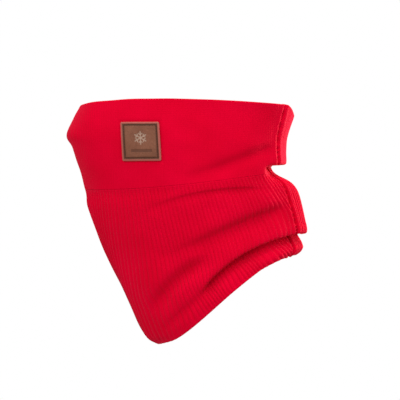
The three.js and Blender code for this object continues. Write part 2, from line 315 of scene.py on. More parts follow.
@dataclass(frozen=True)
class Tube:
    """The shaped tube that every cloth piece lies on.

    Attributes:
        rings: Rings that shape it, from rim to hem.
        creases: Folds of its cloth.
        egg: How much wider the back half of a ring is than the front half, as a share.
        seam_depth: How far the seams draw the cloth in.
        seam_reach: Half width of a seam's hollow.
        seam_swell: How far the cloth stands out beside a seam.
        front_share: The front seam's hollow as a share of the back seam's.
        shoulder: Where that swell lies and how wide it is, as shares of the seam's reach.
        pucker: How much a seam's hollow varies along it, as a share.
        pucker_waves: Pace of the pucker's quick and slow waves, and the slow ones' sway.
        soft_share: The hollow's depth in a layer behind, as a share.
        sags: Height and waves of the cloth's slight unevenness.
        nape_dip: How far the rim dips at centre back.
        dip_reach: How far to either side the dip goes, in turns.
        dip_end: Drop at which the dip has faded.
        step: Step in turn or drop over which slopes are read.
    """

    rings: tuple[Ring, ...] = (
        Ring(0.00, ((-113.5, 83.5), (-56, 92.5), (50, 85.5), (112, 81.5)), 56),
        Ring(0.05, ((-119.5, 70.5), (-60, 78), (46, 73), (108.5, 70)), 57),
        Ring(0.13, ((-126.5, 51), (-60, 54), (42, 52), (104, 50)), 59),
        Ring(0.20, ((-121, 38.5), (-60, 39), (40, 39), (103.5, 38)), 60),
        Ring(0.37, ((-106.5, -6), (-40, -8), (40, 4), (104, 13)), 60),
        Ring(0.47, ((-104.5, -25), (-45, -28), (36, -7), (115.5, -8)), 61),
        Ring(0.62, ((-88.5, -66), (-40, -79), (50, -48), (123, -36)), 63),
        Ring(0.80, ((-69.5, -107), (-30, -120), (50, -70), (123.5, -54)), 66),
        Ring(0.93, ((-50.5, -149), (-12, -147), (52, -79), (122, -66)), 68),
        Ring(0.97, ((-42, -161.5), (-4, -158), (53, -81), (118, -71)), 68.5),
        Ring(1.00, ((-31, -168), (6, -168), (54, -80), (112, -75)), 69),
    )
    creases: tuple[Crease, ...] = (
        Crease(((-15, 3), (30, 13), (55, 26), (95, 40)), 3.0, 5, 9, swell_above=0.5,
               rise=0.5, fall=0.85),
        Crease(((78, 13.5), (88, 13.5), (98, 14.5), (108, 14.5)), 15, 3.4, 7.5, tuck=0.5,
               swell_above=1.2, rise=0.5),
        Crease(((-62, -35), (-15, -14), (25, -4), (90, -6)), 1.7, 1.8, 6, tuck=0.5,
               swell_above=0.6, rise=0.6, fall=0.8),
        Crease(((-40, -78), (0, -73), (45, -43), (108, -24)), 6, 5.5, 12, tuck=0.3,
               swell_above=1.4, rise=0.75, fall=0.88),
        Crease(((-40, -138), (-28, -110), (-5, -87), (28, -75)), 6.8, 6, 9, swell_above=1.3,
               rise=0.3, fall=0.7),
        Crease(((14, -118), (31, -91), (69, -62), (121, -56)), 10, 3, 8, tuck=0.5, swell_above=1.4,
               swell_below=0.5, rise=0.2),
        Crease(((-32, -158), (-18, -141), (0, -127), (24, -106)), 2.2, 4, 6, rise=0.4, fall=0.8),
    )
    egg: float = 0.12
    seam_depth: float = 2.4
    seam_reach: float = 1.9
    seam_swell: float = 0.7
    front_share: float = 0.35
    shoulder: tuple[float, float] = (2.4, 1.3)
    pucker: float = 0.35
    pucker_waves: tuple[float, float, float] = (0.62, 0.21, 1.3)
    soft_share: float = 0.2
    sags: tuple[tuple[float, Waves], ...] = ((0.55, Waves(52, 3)), (0.22, Waves(21, 8)))
    nape_dip: float = 9.5
    dip_reach: float = 0.135
    dip_end: float = 0.17
    step: float = 0.004

    def smooth(self, turn: Array, drop: Array) -> Array:
        """Points of the tube before its folds.

        Args:
            turn: Places round the tube.
            drop: Places down it, the same shape as turn.

        Returns:
            Points in the last axis.
        """
        turn, drop = np.asarray(turn, float), np.asarray(drop, float)
        drops = np.array([ring.drop for ring in self.rings])
        rows = [[*np.array(r.outline).T.ravel(), r.half_width] for r in self.rings]
        values = through(drops, np.array(rows), drop)
        angle = math.pi * turn
        weights = bezier_weights((1 - np.cos(angle)) / 2)
        x = (values[..., 0:4] * weights).sum(-1)
        z = (values[..., 4:8] * weights).sum(-1)
        y = -values[..., 8] * np.sin(angle) * (1 - self.egg * np.cos(angle))
        near_nape = fade(np.abs(turn - 1), 0, self.dip_reach) * fade(drop, 0, self.dip_end)
        return np.stack([x, y, z - self.nape_dip * near_nape], axis=-1)

    def around(self, turn: Array, drop: Array) -> Array:
        """How a point moves with turn."""
        ahead, behind = self.smooth(turn + self.step, drop), self.smooth(turn - self.step, drop)
        return (ahead - behind) / (2 * self.step)

    def down(self, turn: Array, drop: Array) -> Array:
        """How a point moves with drop."""
        below, above = self.smooth(turn, drop + self.step), self.smooth(turn, drop - self.step)
        return (below - above) / (2 * self.step)

    def outward(self, turn: Array, drop: Array) -> Array:
        """Outward directions of the smooth tube."""
        return unit(np.cross(self.down(turn, drop), self.around(turn, drop)))

    def draped(self, turn: Array, drop: Array, soft: bool = False) -> Array:
        """Points of the cloth's face, with its folds, seam hollows and slight unevenness.

        Args:
            turn: Places round the tube.
            drop: Places down it.
            soft: Whether to give the softer shape of a layer behind.

        Returns:
            Points in the last axis.
        """
        base = self.smooth(turn, drop)
        out = self.outward(turn, drop)
        moved = base.copy()
        for crease in self.creases:
            push, slide, up_x, up_z = crease.pull(base[..., 0], base[..., 2], soft)
            up = np.stack([up_x, np.zeros(up_x.shape), up_z], axis=-1)
            up = unit(up - (up * out).sum(-1, keepdims=True) * out)
            moved += push[..., None] * out + slide[..., None] * up
        pace = np.linalg.norm(self.around(turn, drop), axis=-1)
        level = DOWN_LENGTH * np.asarray(drop, float)
        quick, slow, sway = self.pucker_waves
        uneven = 1 + self.pucker * np.sin(level * quick + sway * np.sin(level * slow))
        swell_at, swell_reach = (share * self.seam_reach for share in self.shoulder)
        for seam in Seam:
            away = (np.mod(turn - seam.value + 1, 2) - 1) * pace
            hollow = self.seam_depth * bell(away, self.seam_reach) * uneven
            swell = self.seam_swell * bell(np.abs(away) - swell_at, swell_reach)
            share = self.front_share if seam is Seam.FRONT else 1.0
            share *= self.soft_share if soft else 1.0
            moved += (share * (swell - hollow))[..., None] * out
        if not soft:
            sag = sum(height * waves.read(base) for height, waves in self.sags)
            moved += sag[..., None] * out
        return moved

    def turn_for(self, distance: float, turn: Array, drop: Array) -> Array:
        """How much turn makes a distance round the tube at places."""
        return distance / np.linalg.norm(self.around(turn, drop), axis=-1)

    def edges(self, side: Side, drop: Array, inset: float) -> tuple[Array, Array]:
        """The turns of a side panel's two edges.

        Args:
            side: The panel's side.
            drop: Where to read its edges.
            inset: How far its edges stay clear of the seams.

        Returns:
            Turns where the panel begins and ends.
        """
        front, back = (np.full(drop.shape, seam.value) for seam in Seam)
        front_gap, back_gap = (self.turn_for(inset, turn, drop) for turn in (front, back))
        if side is Side.LEFT:
            return front + front_gap, back - back_gap
        return back + back_gap, front + 2 - front_gap

    def grid(self, side: Side, drops: Array, columns: int, inset: float) -> tuple[Array, Array]:
        """The places of a panel's mesh.

        Args:
            side: The panel's side.
            drops: Its rows.
            columns: Cells across it.
            inset: How far its edges stay clear of the seams.

        Returns:
            Turns and drops, a row for each of drops.
        """
        start, end = self.edges(side, drops, inset)
        share = np.linspace(0, 1, columns + 1)
        turn = start[:, None] + (end - start)[:, None] * share
        return turn, np.repeat(drops[:, None], columns + 1, axis=1)

    def place_at(
        self, x: Array, z: Array, guess: float = 0.2, rounds: int = 12
    ) -> tuple[Array, Array]:
        """The places on the wearer's left that are seen at x and z from the side.

        Args:
            x: Their x.
            z: Their z.
            guess: Drop at which the search begins.
            rounds: Steps of the search.

        Returns:
            Turns and drops.
        """
        turn, drop = np.full(x.shape, SIDE_TURN), np.full(x.shape, guess)
        for _ in range(rounds):
            p, a, b = (f(turn, drop) for f in (self.smooth, self.around, self.down))
            dx, dz = x - p[..., 0], z - p[..., 2]
            det = a[..., 0] * b[..., 2] - b[..., 0] * a[..., 2]
            turn = turn + (dx * b[..., 2] - b[..., 0] * dz) / det
            drop = drop + (a[..., 0] * dz - dx * a[..., 2]) / det
        return turn, drop


@dataclass(frozen=True)
class Wales:
    """The lines that the knit's stitches and ribs run along.

    They start evenly spaced at one drop, square to it, and are followed down from there.

    Attributes:
        tube: The tube they lie on.
        top: Drop where they are evenly spaced.
        leans: How far they lean back on the way down, seen from the wearer's left: x, z, degrees.
        step: Step in drop between one stop and the next.
        ends: Turns between which the lines start.
        count: How many lines are followed.
        blur: How softly one lean gives way to the next.
        facing: How squarely the cloth faces the side where the lean begins and is whole.
    """

    tube: Tube
    top: float
    leans: tuple[tuple[float, float, float], ...]
    step: float = 0.006
    ends: tuple[float, float] = (-0.16, 1.22)
    count: int = 277
    blur: float = 40
    facing: tuple[float, float] = (0.1, 0.65)

    def lean(self, x: Array, z: Array) -> Array:
        """The tangent of the lean at places seen from the side.

        Args:
            x: Their x.
            z: Their z.

        Returns:
            One tangent a place.
        """
        total, weights = np.zeros(x.shape), np.zeros(x.shape)
        for at_x, at_z, degrees in self.leans:
            weight = 1 / (np.square(x - at_x) + np.square(z - at_z) + self.blur) ** 2
            total += weight * math.tan(math.radians(degrees))
            weights += weight
        return total / weights

    def follow(self, bottom: float) -> tuple[Array, Array, Array]:
        """Follows the lines down the tube.

        Args:
            bottom: Drop to follow them to.

        Returns:
            The drops of the stops, the turn of each line at each stop, and the lines' distances
            across.
        """
        turn = np.linspace(*self.ends, self.count)
        stops = np.arange(self.top, bottom + self.step, self.step)
        level = np.full(turn.shape, self.top)
        ring = self.tube.smooth(turn, level)
        length = np.concatenate([[0], np.cumsum(np.linalg.norm(np.diff(ring, axis=0), axis=1))])
        distance = length - np.interp(SIDE_TURN, turn, length)
        turns = [turn]
        for stop in stops[:-1]:
            level = np.full(turn.shape, stop)
            point = self.tube.smooth(turn, level)
            around, down = self.tube.around(turn, level), self.tube.down(turn, level)
            lean = self.lean(point[:, 0], point[:, 2])
            slope = -(down[:, 0] + lean * down[:, 2]) / (around[:, 0] + lean * around[:, 2])
            faced = smoothstep(np.sin(math.pi * np.clip(turn, 0, 1)), *self.facing)
            turn = turn + self.step * np.nan_to_num(slope) * faced
            turns.append(turn)
        return stops, np.array(turns), distance

    def across(self, turn: Array, drop: Array) -> Array:
        """Distance across the wales from the side line.

        Args:
            turn: Places of a mesh, a row for each drop.
            drop: The drops of the places.

        Returns:
            Distances in mm, towards the back positive.
        """
        folded = turn if turn.min() < SIDE_TURN else 2 - turn
        stops, turns, distance = self.follow(float(drop.max()))
        result = np.empty(turn.shape)
        last = len(stops) - 1.001  # just before the last stop, which has no next one
        for row in range(turn.shape[0]):
            at = min((max(drop[row, 0], self.top) - self.top) / self.step, last)
            k = int(at)
            line = turns[k] + (turns[k + 1] - turns[k]) * (at - k)
            result[row] = np.interp(folded[row], line, distance)
        return result


# ---- Meshes ----


def grid_normals(points: Array) -> Array:
    """Outward directions of a grid of points with rows down the tube and columns round it."""
    return unit(np.cross(np.gradient(points, axis=0), np.gradient(points, axis=1)))


def thinned(grid: Array) -> Array:
    """The places of a grid that a cloth's coarser back has."""
    return grid[::BACK_STEP, ::BACK_STEP]


def rows_of(vectors: Array) -> Array:
    """A grid of vectors as plain rows."""
    return vectors.reshape(-1, vectors.shape[-1])


def rim_loop(grid: Array) -> tuple[Array, Array]:
    """The places round a grid's rim.

    Args:
        grid: The grid.

    Returns:
        Row and column of each place, once round.
    """
    rows, columns = grid.shape[0] - 1, grid.shape[1] - 1
    top = [(0, i) for i in range(columns)]
    end = [(j, columns) for j in range(rows)]
    bottom = [(rows, i) for i in range(columns, 0, -1)]
    start = [(j, 0) for j in range(rows, 0, -1)]
    j, i = np.array(top + end + bottom + start).T
    return j, i


@dataclass
class Cloth:
    """A closed piece of cloth: a fine face, a coarser back and a rounded edge between them.

    Attributes:
        name: The piece's name.
        face: Grid of points of its face.
        back: Grid of points of its back, at the thinned places of the face.
        uv: Grid of stitch coordinates of its face.
        bulge: How far the edge stands out at the grid's top, end, bottom and start.
        turns: Strips of faces round the edge.
        corner: How far the edge stands out at a corner, as a share.
    """

    name: str
    face: Array
    back: Array
    uv: Array
    bulge: tuple[float, float, float, float] = (1.0, 1.0, 1.0, 1.0)
    turns: int = 4
    corner: float = 0.7

    def edge_points(self) -> tuple[Array, Array]:
        """The rounded edge's own points.

        Returns:
            Strips of points round the rim, and the stitch coordinates of one strip.
        """
        rows, columns = self.face.shape[0] - 1, self.face.shape[1] - 1
        j, i = rim_loop(self.face)
        rim = self.face[j, i]
        top, end, bottom, start = self.bulge
        out_down = unit(rim - self.face[np.clip(j, 1, rows - 1), i])
        out_side = unit(rim - self.face[j, np.clip(i, 1, columns - 1)])
        out_down *= np.where(j == 0, top, bottom)[:, None]
        out_side *= np.where(i == 0, start, end)[:, None]
        out_down[(j > 0) & (j < rows)] = 0
        out_side[(i > 0) & (i < columns)] = 0
        at_corner = out_down.any(1) & out_side.any(1)
        out = (out_down + out_side) * np.where(at_corner, self.corner, 1.0)[:, None]
        coarse_j, coarse_i = j / BACK_STEP, i / BACK_STEP
        low_j, low_i = np.floor(coarse_j).astype(int), np.floor(coarse_i).astype(int)
        high_j = np.minimum(low_j + 1, self.back.shape[0] - 1)
        high_i = np.minimum(low_i + 1, self.back.shape[1] - 1)
        fj, fi = (coarse_j - low_j)[:, None], (coarse_i - low_i)[:, None]
        behind = (
            self.back[low_j, low_i] * (1 - fj) * (1 - fi)
            + self.back[high_j, low_i] * fj * (1 - fi)
            + self.back[low_j, high_i] * (1 - fj) * fi
            + self.back[high_j, high_i] * fj * fi
        )
        middle, half = (rim + behind) / 2, (rim - behind) / 2
        angles = np.linspace(0, math.pi, self.turns + 2)[1:-1]
        strips = [middle + half * math.cos(a) + out * math.sin(a) for a in angles]
        return np.array(strips), self.uv[j, i]

    def build(self, material: bpy.types.Material) -> bpy.types.Object:
        """Makes the closed mesh.

        Args:
            material: Its finish.

        Returns:
            The new object.
        """
        strips, strip_uv = self.edge_points()
        count = strips.shape[1]
        points = np.concatenate([rows_of(grid) for grid in (self.face, strips, self.back)])
        strips_uv = np.tile(strip_uv, (self.turns, 1))
        uv = np.concatenate([rows_of(self.uv), strips_uv, rows_of(thinned(self.uv))])
        face_index = np.arange(self.face[..., 0].size).reshape(self.face.shape[:2])
        first_strip = face_index.size
        first_back = first_strip + count * self.turns
        back_index = first_back + np.arange(self.back[..., 0].size).reshape(self.back.shape[:2])
        quads = [quads_of(face_index), quads_of(back_index)[:, ::-1]]
        rings = [face_index[rim_loop(face_index)]]
        rings += [first_strip + k * count + np.arange(count) for k in range(self.turns)]
        for a, b in zip(rings[:-1], rings[1:]):
            quads.append(np.stack([a, np.roll(a, -1), np.roll(b, -1), b], axis=1))
        faces = np.concatenate(quads).tolist()
        inner = back_index[rim_loop(back_index)]
        for k in range(len(inner)):
            span = [int(rings[-1][(k * BACK_STEP + m) % count]) for m in range(BACK_STEP + 1)]
            faces.append(span + [int(inner[(k + 1) % len(inner)]), int(inner[k])])
        return mesh_object(self.name, points, faces, material, uv)


def quads_of(index: Array) -> Array:
    """The four corners of each cell of a grid of point numbers."""
    corners = (index[:-1, :-1], index[1:, :-1], index[1:, 1:], index[:-1, 1:])
    return rows_of(np.stack(corners, axis=-1))


def mesh_object(
    name: str,
    points: Array,
    faces: Sequence[Sequence[int]],
    material: bpy.types.Material,
    uv: Array | None = None,
) -> bpy.types.Object:
    """Makes a smooth shaded object whose faces point outward.

    Args:
        name: The piece's name.
        points: Its points in mm.
        faces: Point numbers of each face.
        material: Its finish.
        uv: Stitch coordinates of each point, if it has any.

    Returns:
        The new object, in the scene.
    """
    mesh = bpy.data.meshes.new(name)
    mesh.from_pydata((points * MM).tolist(), [], faces)
    corners = np.zeros(len(mesh.loops), np.int32)
    mesh.loops.foreach_get("vertex_index", corners)
    if uv is not None:
        layer = mesh.uv_layers.new(name="Stitches")
        layer.data.foreach_set("uv", uv[corners].astype(np.float32).ravel())
    if signed_volume(points, faces) < 0:
        mesh.flip_normals()
    mesh.shade_smooth()
    mesh.materials.append(material)
    made = bpy.data.objects.new(name, mesh)
    bpy.context.scene.collection.objects.link(made)
    return made


def signed_volume(points: Array, faces: Sequence[Sequence[int]]) -> float:
    """Volume inside faces, negative if they point inward.

    Args:
        points: The points.
        faces: Point numbers of each face.

    Returns:
        The volume.
    """
    total = 0.0
    for size in set(map(len, faces)):
        corners = points[np.array([face for face in faces if len(face) == size])]
        for k in range(1, size - 1):
            total += float((corners[:, 0] * np.cross(corners[:, k], corners[:, k + 1])).sum())
    return total / 6


END_SHARE = 0.45  # a thread's radius at its ends, as a share
STITCH_POINTS = 9  # points along a single short stitch


def strand(path: Array, radius: float, sides: int = 8) -> tuple[Array, list[list[int]]]:
    """A round thread along a path, with rounded ends.

    Args:
        path: Points of its centre line.
        radius: Its radius.
        sides: Sides of its section.

    Returns:
        Points and faces of a closed mesh.
    """
    along = unit(np.gradient(path, axis=0))
    steep = abs(along[0][2]) >= 0.9
    helper = np.array([1.0, 0.0, 0.0]) if steep else np.array([0.0, 0.0, 1.0])
    side = np.empty_like(path)
    previous = unit(np.cross(along[0], helper))
    for k, direction in enumerate(along):
        previous = unit(previous - direction * (previous @ direction))
        side[k] = previous
    rise = np.cross(along, side)
    thick = np.full(len(path), radius)
    thick[[0, -1]] *= END_SHARE
    angles = np.linspace(0, 2 * math.pi, sides, endpoint=False)
    ring = side[:, None] * np.cos(angles)[:, None] + rise[:, None] * np.sin(angles)[:, None]
    points = rows_of(path[:, None] + ring * thick[:, None, None])
    index = np.arange(len(path) * sides).reshape(len(path), sides)
    wrapped = np.concatenate([index, index[:, :1]], axis=1)
    faces = quads_of(wrapped).tolist()
    faces += [index[0].tolist(), index[-1][::-1].tolist()]
    return points, faces


def strands(paths: Sequence[Array], radius: float, sides: int = 8) -> tuple[Array, list[list[int]]]:
    """Several threads as one mesh.

    Args:
        paths: Centre line of each.
        radius: Their radius.
        sides: Sides of their section.

    Returns:
        Points and faces.
    """
    points, faces, offset = [], [], 0
    for path in paths:
        some, their_faces = strand(path, radius, sides)
        points.append(some)
        faces += [[n + offset for n in face] for face in their_faces]
        offset += len(some)
    return np.concatenate(points), faces


# ---- Shader groups ----


class Graph:
    """A node tree under construction."""

    def __init__(self, tree: bpy.types.NodeTree) -> None:
        """Starts with an empty tree."""
        self.tree = tree
        tree.nodes.clear()

    def node(self, kind: str, **settings: object) -> bpy.types.Node:
        """Adds a node.

        Args:
            kind: The node's type name.
            settings: Its properties.

        Returns:
            The new node.
        """
        made = self.tree.nodes.new(kind)
        for name, value in settings.items():
            setattr(made, name, value)
        return made

    def feed(self, socket: bpy.types.NodeSocket, value: object) -> None:
        """Joins a socket to another, or sets it to a value.

        Args:
            socket: The input.
            value: Another node's output, or a plain value.
        """
        if isinstance(value, bpy.types.NodeSocket):
            self.tree.links.new(value, socket)
        else:
            socket.default_value = value

    def math(self, operation: str, *values: object) -> bpy.types.NodeSocket:
        """Adds a Math node.

        Args:
            operation: What it does.
            values: Its inputs, sockets or numbers.

        Returns:
            Its output.
        """
        made = self.node("ShaderNodeMath", operation=operation)
        for socket, value in zip(made.inputs, values):
            self.feed(socket, value)
        return made.outputs[0]

    def noise(
        self, vector: object, scale: object, detail: float = 2.0, roughness: float = 0.5
    ) -> bpy.types.NodeSocket:
        """Adds a Noise node.

        Args:
            vector: Where it is read.
            scale: Its scale.
            detail: Its octaves.
            roughness: How strong the finer octaves are.

        Returns:
            Its value.
        """
        made = self.node("ShaderNodeTexNoise")
        given = {"Vector": vector, "Scale": scale, "Detail": detail, "Roughness": roughness}
        for name, value in given.items():
            self.feed(made.inputs[name], value)
        return made.outputs["Fac"]

    def here(self) -> bpy.types.NodeSocket:
        """The place on the object, in metres."""
        return self.node("ShaderNodeTexCoord").outputs["Object"]

    def place(self, group: bpy.types.NodeTree, given: dict[str, object]) -> dict:
        """Adds a shader group.

        Args:
            group: The group.
            given: Its inputs by name.

        Returns:
            Its output sockets by name.
        """
        made = self.node("ShaderNodeGroup", node_tree=group)
        for name, value in given.items():
            self.feed(made.inputs[name], value)
        return {socket.name: socket for socket in made.outputs}

    def blend(
        self, factor: object, first: object, second: object, kind: str = "RGBA"
    ) -> bpy.types.NodeSocket:
        """Adds a mix of colours or of plain values.

        Args:
            factor: Share of the second.
            first: The first colour or value.
            second: The second.
            kind: RGBA for colours, FLOAT for values.

        Returns:
            The mix.
        """
        made = self.node("ShaderNodeMix", data_type=kind)
        self.feed(made.inputs["Factor"], factor)
        self.feed(made.inputs["A"], first)
        self.feed(made.inputs["B"], second)
        return made.outputs["Result"]

    def span(
        self, value: object, low: float, high: float, to_low: float, to_high: float
    ) -> bpy.types.NodeSocket:
        """Adds a clamped change of range.

        Args:
            value: What is changed.
            low: Its lowest value.
            high: Its highest value.
            to_low: What the lowest becomes.
            to_high: What the highest becomes.

        Returns:
            The changed value.
        """
        made = self.node("ShaderNodeMapRange")
        for socket, given in zip(made.inputs, (value, low, high, to_low, to_high)):
            self.feed(socket, given)
        return made.outputs[0]


def new_group(
    name: str, takes: dict[str, str], gives: dict[str, str]
) -> tuple[bpy.types.NodeTree, Graph, dict, dict]:
    """Makes a shader group with named sockets.

    Args:
        name: The group's name.
        takes: Kinds of its inputs by name.
        gives: Kinds of its outputs by name.

    Returns:
        The group, its graph, its input sockets by name, and its output sockets by name.
    """
    tree = bpy.data.node_groups.new(name, "ShaderNodeTree")
    graph = Graph(tree)
    for way, sockets in (("INPUT", takes), ("OUTPUT", gives)):
        for label, kind in sockets.items():
            tree.interface.new_socket(label, in_out=way, socket_type=f"NodeSocket{kind}")
    inside, outside = graph.node("NodeGroupInput"), graph.node("NodeGroupOutput")
    inputs, outputs = ({s.name: s for s in ends} for ends in (inside.outputs, outside.inputs))
    return tree, graph, inputs, outputs


@dataclass
class ShaderGroups:
    """The effects that several finishes share, each built once.

    Attributes:
        stitches: Knit stitches.
        tone: Colour of a yarn's dye, with painted shade in the gaps between yarns and in the
            hollows of a grain.
        grain: Grain of leather or felted fibres.
    """

    stitches: bpy.types.NodeTree = field(init=False)
    tone: bpy.types.NodeTree = field(init=False)
    grain: bpy.types.NodeTree = field(init=False)

    def __post_init__(self) -> None:
        """Builds the groups."""
        self.stitches = self.make_stitches()
        self.tone = self.make_tone()
        self.grain = self.make_grain()

    @staticmethod
    def make_stitches() -> bpy.types.NodeTree:
        """Rows of V shaped knit stitches, read from stitch coordinates.

        Returns:
            A group with a height and a mask of the gaps between the yarns.
        """
        tree, graph, given, out = new_group(
            "KnitStitches", {"Stitch Coordinates": "Vector", "Slant": "Float"},
            {"Height": "Float", "Gaps": "Float"})
        split = graph.node("ShaderNodeSeparateXYZ")
        graph.feed(split.inputs[0], given["Stitch Coordinates"])
        across, down = split.outputs[0], split.outputs[1]
        leg = graph.math("ABSOLUTE", graph.math("SUBTRACT", graph.math("FRACT", across), 0.5))
        slanted = graph.math("SUBTRACT", down, graph.math("MULTIPLY", leg, given["Slant"]))
        course = graph.math("COSINE", graph.math("MULTIPLY", slanted, 2 * math.pi))
        course = graph.math("MULTIPLY_ADD", course, 0.5, 0.5)
        leg_round = graph.math("SINE", graph.math("MULTIPLY", leg, 2 * math.pi))
        leg_round = graph.math("POWER", graph.math("MAXIMUM", leg_round, 0.0), 0.5)
        yarn = graph.math("MULTIPLY_ADD", graph.math("POWER", course, 0.6), 0.65, 0.35)
        height = graph.math("MULTIPLY", leg_round, yarn)
        graph.feed(out["Height"], height)
        graph.feed(out["Gaps"], graph.span(height, 0.15, 0.6, 1.0, 0.0))
        return tree

    @staticmethod
    def make_tone() -> bpy.types.NodeTree:
        """Slow changes and fine flecks of a yarn's dye colour, and painted shade that darkens it in
        the gaps between the yarns.

        Returns:
            A group with a colour.
        """
        tree, graph, given, out = new_group(
            "YarnToneAndGapShade", {"Light": "Color", "Dark": "Color", "Patch Scale": "Float",
                         "Fleck Scale": "Float", "Gaps": "Float"}, {"Color": "Color"})
        where = graph.here()
        slow = graph.noise(where, given["Patch Scale"])
        fleck = graph.noise(where, given["Fleck Scale"], 4)
        share = graph.math("ADD", graph.span(slow, 0.3, 0.7, 0.0, 0.45),
                           graph.span(fleck, 0.35, 0.75, 0.0, 0.35))
        # Painted shade: the colour goes darker in the gaps between the yarns or in the hollows of a
        # grain.
        share = graph.math("ADD", share, graph.math("MULTIPLY", given["Gaps"], 0.45))
        share = graph.math("MINIMUM", share, 1.0)
        graph.feed(out["Color"], graph.blend(share, given["Light"], given["Dark"]))
        return tree

    @staticmethod
    def make_grain() -> bpy.types.NodeTree:
        """Pebbled grain of leather or the lie of felted fibres.

        Returns:
            A group with a height and a mask of the hollows.
        """
        tree, graph, given, out = new_group(
            "FineGrain", {"Scale": "Float", "Roughness Mix": "Float"},
            {"Height": "Float", "Hollows": "Float"})
        where = graph.here()
        cells = graph.node("ShaderNodeTexVoronoi", feature="DISTANCE_TO_EDGE")
        graph.feed(cells.inputs["Vector"], where)
        graph.feed(cells.inputs["Scale"], given["Scale"])
        pebble = graph.span(cells.outputs["Distance"], 0.0, 0.25, 0.0, 1.0)
        fibre = graph.noise(where, given["Scale"], 6, 0.65)
        height = graph.blend(given["Roughness Mix"], pebble, fibre, "FLOAT")
        graph.feed(out["Height"], height)
        graph.feed(out["Hollows"], graph.span(height, 0.2, 0.7, 1.0, 0.0))
        return tree

    def dyed_and_gap_shaded(
        self, graph: Graph, colours: tuple[Colour, Colour], scales: tuple[float, float],
        gaps: bpy.types.NodeSocket
    ) -> bpy.types.NodeSocket:
        """Places a yarn's dye tone in a material, with painted shade in its gaps.

        Args:
            graph: The material's graph.
            colours: The lightest and the darkest colour.
            scales: Slow patches and fine flecks a metre.
            gaps: Mask of the places between the yarns, which get painted shade.

        Returns:
            The colour.
        """
        (light, dark), (patches, flecks) = colours, scales
        return graph.place(self.tone, {"Light": light, "Dark": dark, "Patch Scale": patches,
                                       "Fleck Scale": flecks, "Gaps": gaps})["Color"]


# ---- Finishes ----

RED: Colour = (0.72, 0.0, 0.027, 1.0)
DEEP_RED: Colour = (0.58, 0.0, 0.015, 1.0)
FUZZ: Colour = (1.0, 0.22, 0.34, 1.0)
THREAD_REDS: tuple[Colour, Colour] = ((0.52, 0.001, 0.013, 1), (0.34, 0.0, 0.007, 1))


@dataclass(frozen=True)
class Surface:
    """The plain values of a finish's surface.

    Attributes:
        roughness: How matt it is.
        specular: How strongly it reflects.
        sheen: How much fuzz catches the light.
        sheen_roughness: How wide the fuzz's light spreads.
        sheen_tint: The fuzz's colour.
    """

    roughness: float = 0.9
    specular: float = 0.05
    sheen: float = 0.0
    sheen_roughness: float = 0.4
    sheen_tint: Colour = FUZZ


def new_material(name: str, surface: Surface) -> tuple[bpy.types.Material, Graph, bpy.types.Node]:
    """Makes a material with its shader and plain values.

    Args:
        name: The material's name.
        surface: Its plain values.

    Returns:
        The material, its graph and its Principled shader.
    """
    material = bpy.data.materials.new(name)
    material.use_nodes = True
    graph = Graph(material.node_tree)
    shader = graph.node("ShaderNodeBsdfPrincipled")
    output = graph.node("ShaderNodeOutputMaterial")
    graph.tree.links.new(shader.outputs[0], output.inputs["Surface"])
    plain = {"Roughness": surface.roughness, "Specular IOR Level": surface.specular,
             "Sheen Weight": surface.sheen, "Sheen Roughness": surface.sheen_roughness,
             "Sheen Tint": surface.sheen_tint}
    for label, value in plain.items():
        shader.inputs[label].default_value = value
    return material, graph, shader


def add_bump(graph: Graph, shader: bpy.types.Node, height: object, distance: float) -> None:
    """Gives a shader a bump.

    Args:
        graph: The material's graph.
        shader: Its shader.
        height: Height from 0 to 1.
        distance: What a height of 1 is, in mm.
    """
    bump = graph.node("ShaderNodeBump")
    bump.inputs["Distance"].default_value = distance * MM
    bump.inputs["Strength"].default_value = 1.0
    graph.feed(bump.inputs["Height"], height)
    graph.feed(shader.inputs["Normal"], bump.outputs[0])


@dataclass(frozen=True)
class KnitFinish:
    """Knitted wool, with stitches along the piece's stitch coordinates.

    Attributes:
        name: The material's name.
        groups: The shared shader groups.
        light: Colour of the yarn where it is lightest.
        dark: Colour where it is darkest, and painted shade between the yarns.
        relief: How high a stitch stands.
        slant: How steeply the legs of a stitch rise.
        scales: Slow patches and fine flecks of colour a metre.
        matt: Roughness between the yarns and on top of them.
        surface: Plain values.
    """

    name: str
    groups: ShaderGroups
    light: Colour = RED
    dark: Colour = DEEP_RED
    relief: float = 0.28
    slant: float = 1.1
    scales: tuple[float, float] = (22, 900)
    matt: tuple[float, float] = (0.98, 0.84)
    surface: Surface = Surface(specular=0.02, sheen=0.15)

    def material(self) -> bpy.types.Material:
        """Builds the material.

        Returns:
            The material.
        """
        material, graph, shader = new_material(self.name, self.surface)
        where = graph.node("ShaderNodeUVMap", uv_map="Stitches").outputs[0]
        knit = graph.place(self.groups.stitches, {"Stitch Coordinates": where, "Slant": self.slant})
        colours = (self.light, self.dark)
        # Painted shade: the gaps between the stitches take the dark colour.
        colour = self.groups.dyed_and_gap_shaded(graph, colours, self.scales, knit["Gaps"])
        graph.feed(shader.inputs["Base Color"], colour)
        graph.feed(shader.inputs["Roughness"], graph.span(knit["Height"], 0, 1, *self.matt))
        add_bump(graph, shader, knit["Height"], self.relief)
        return material


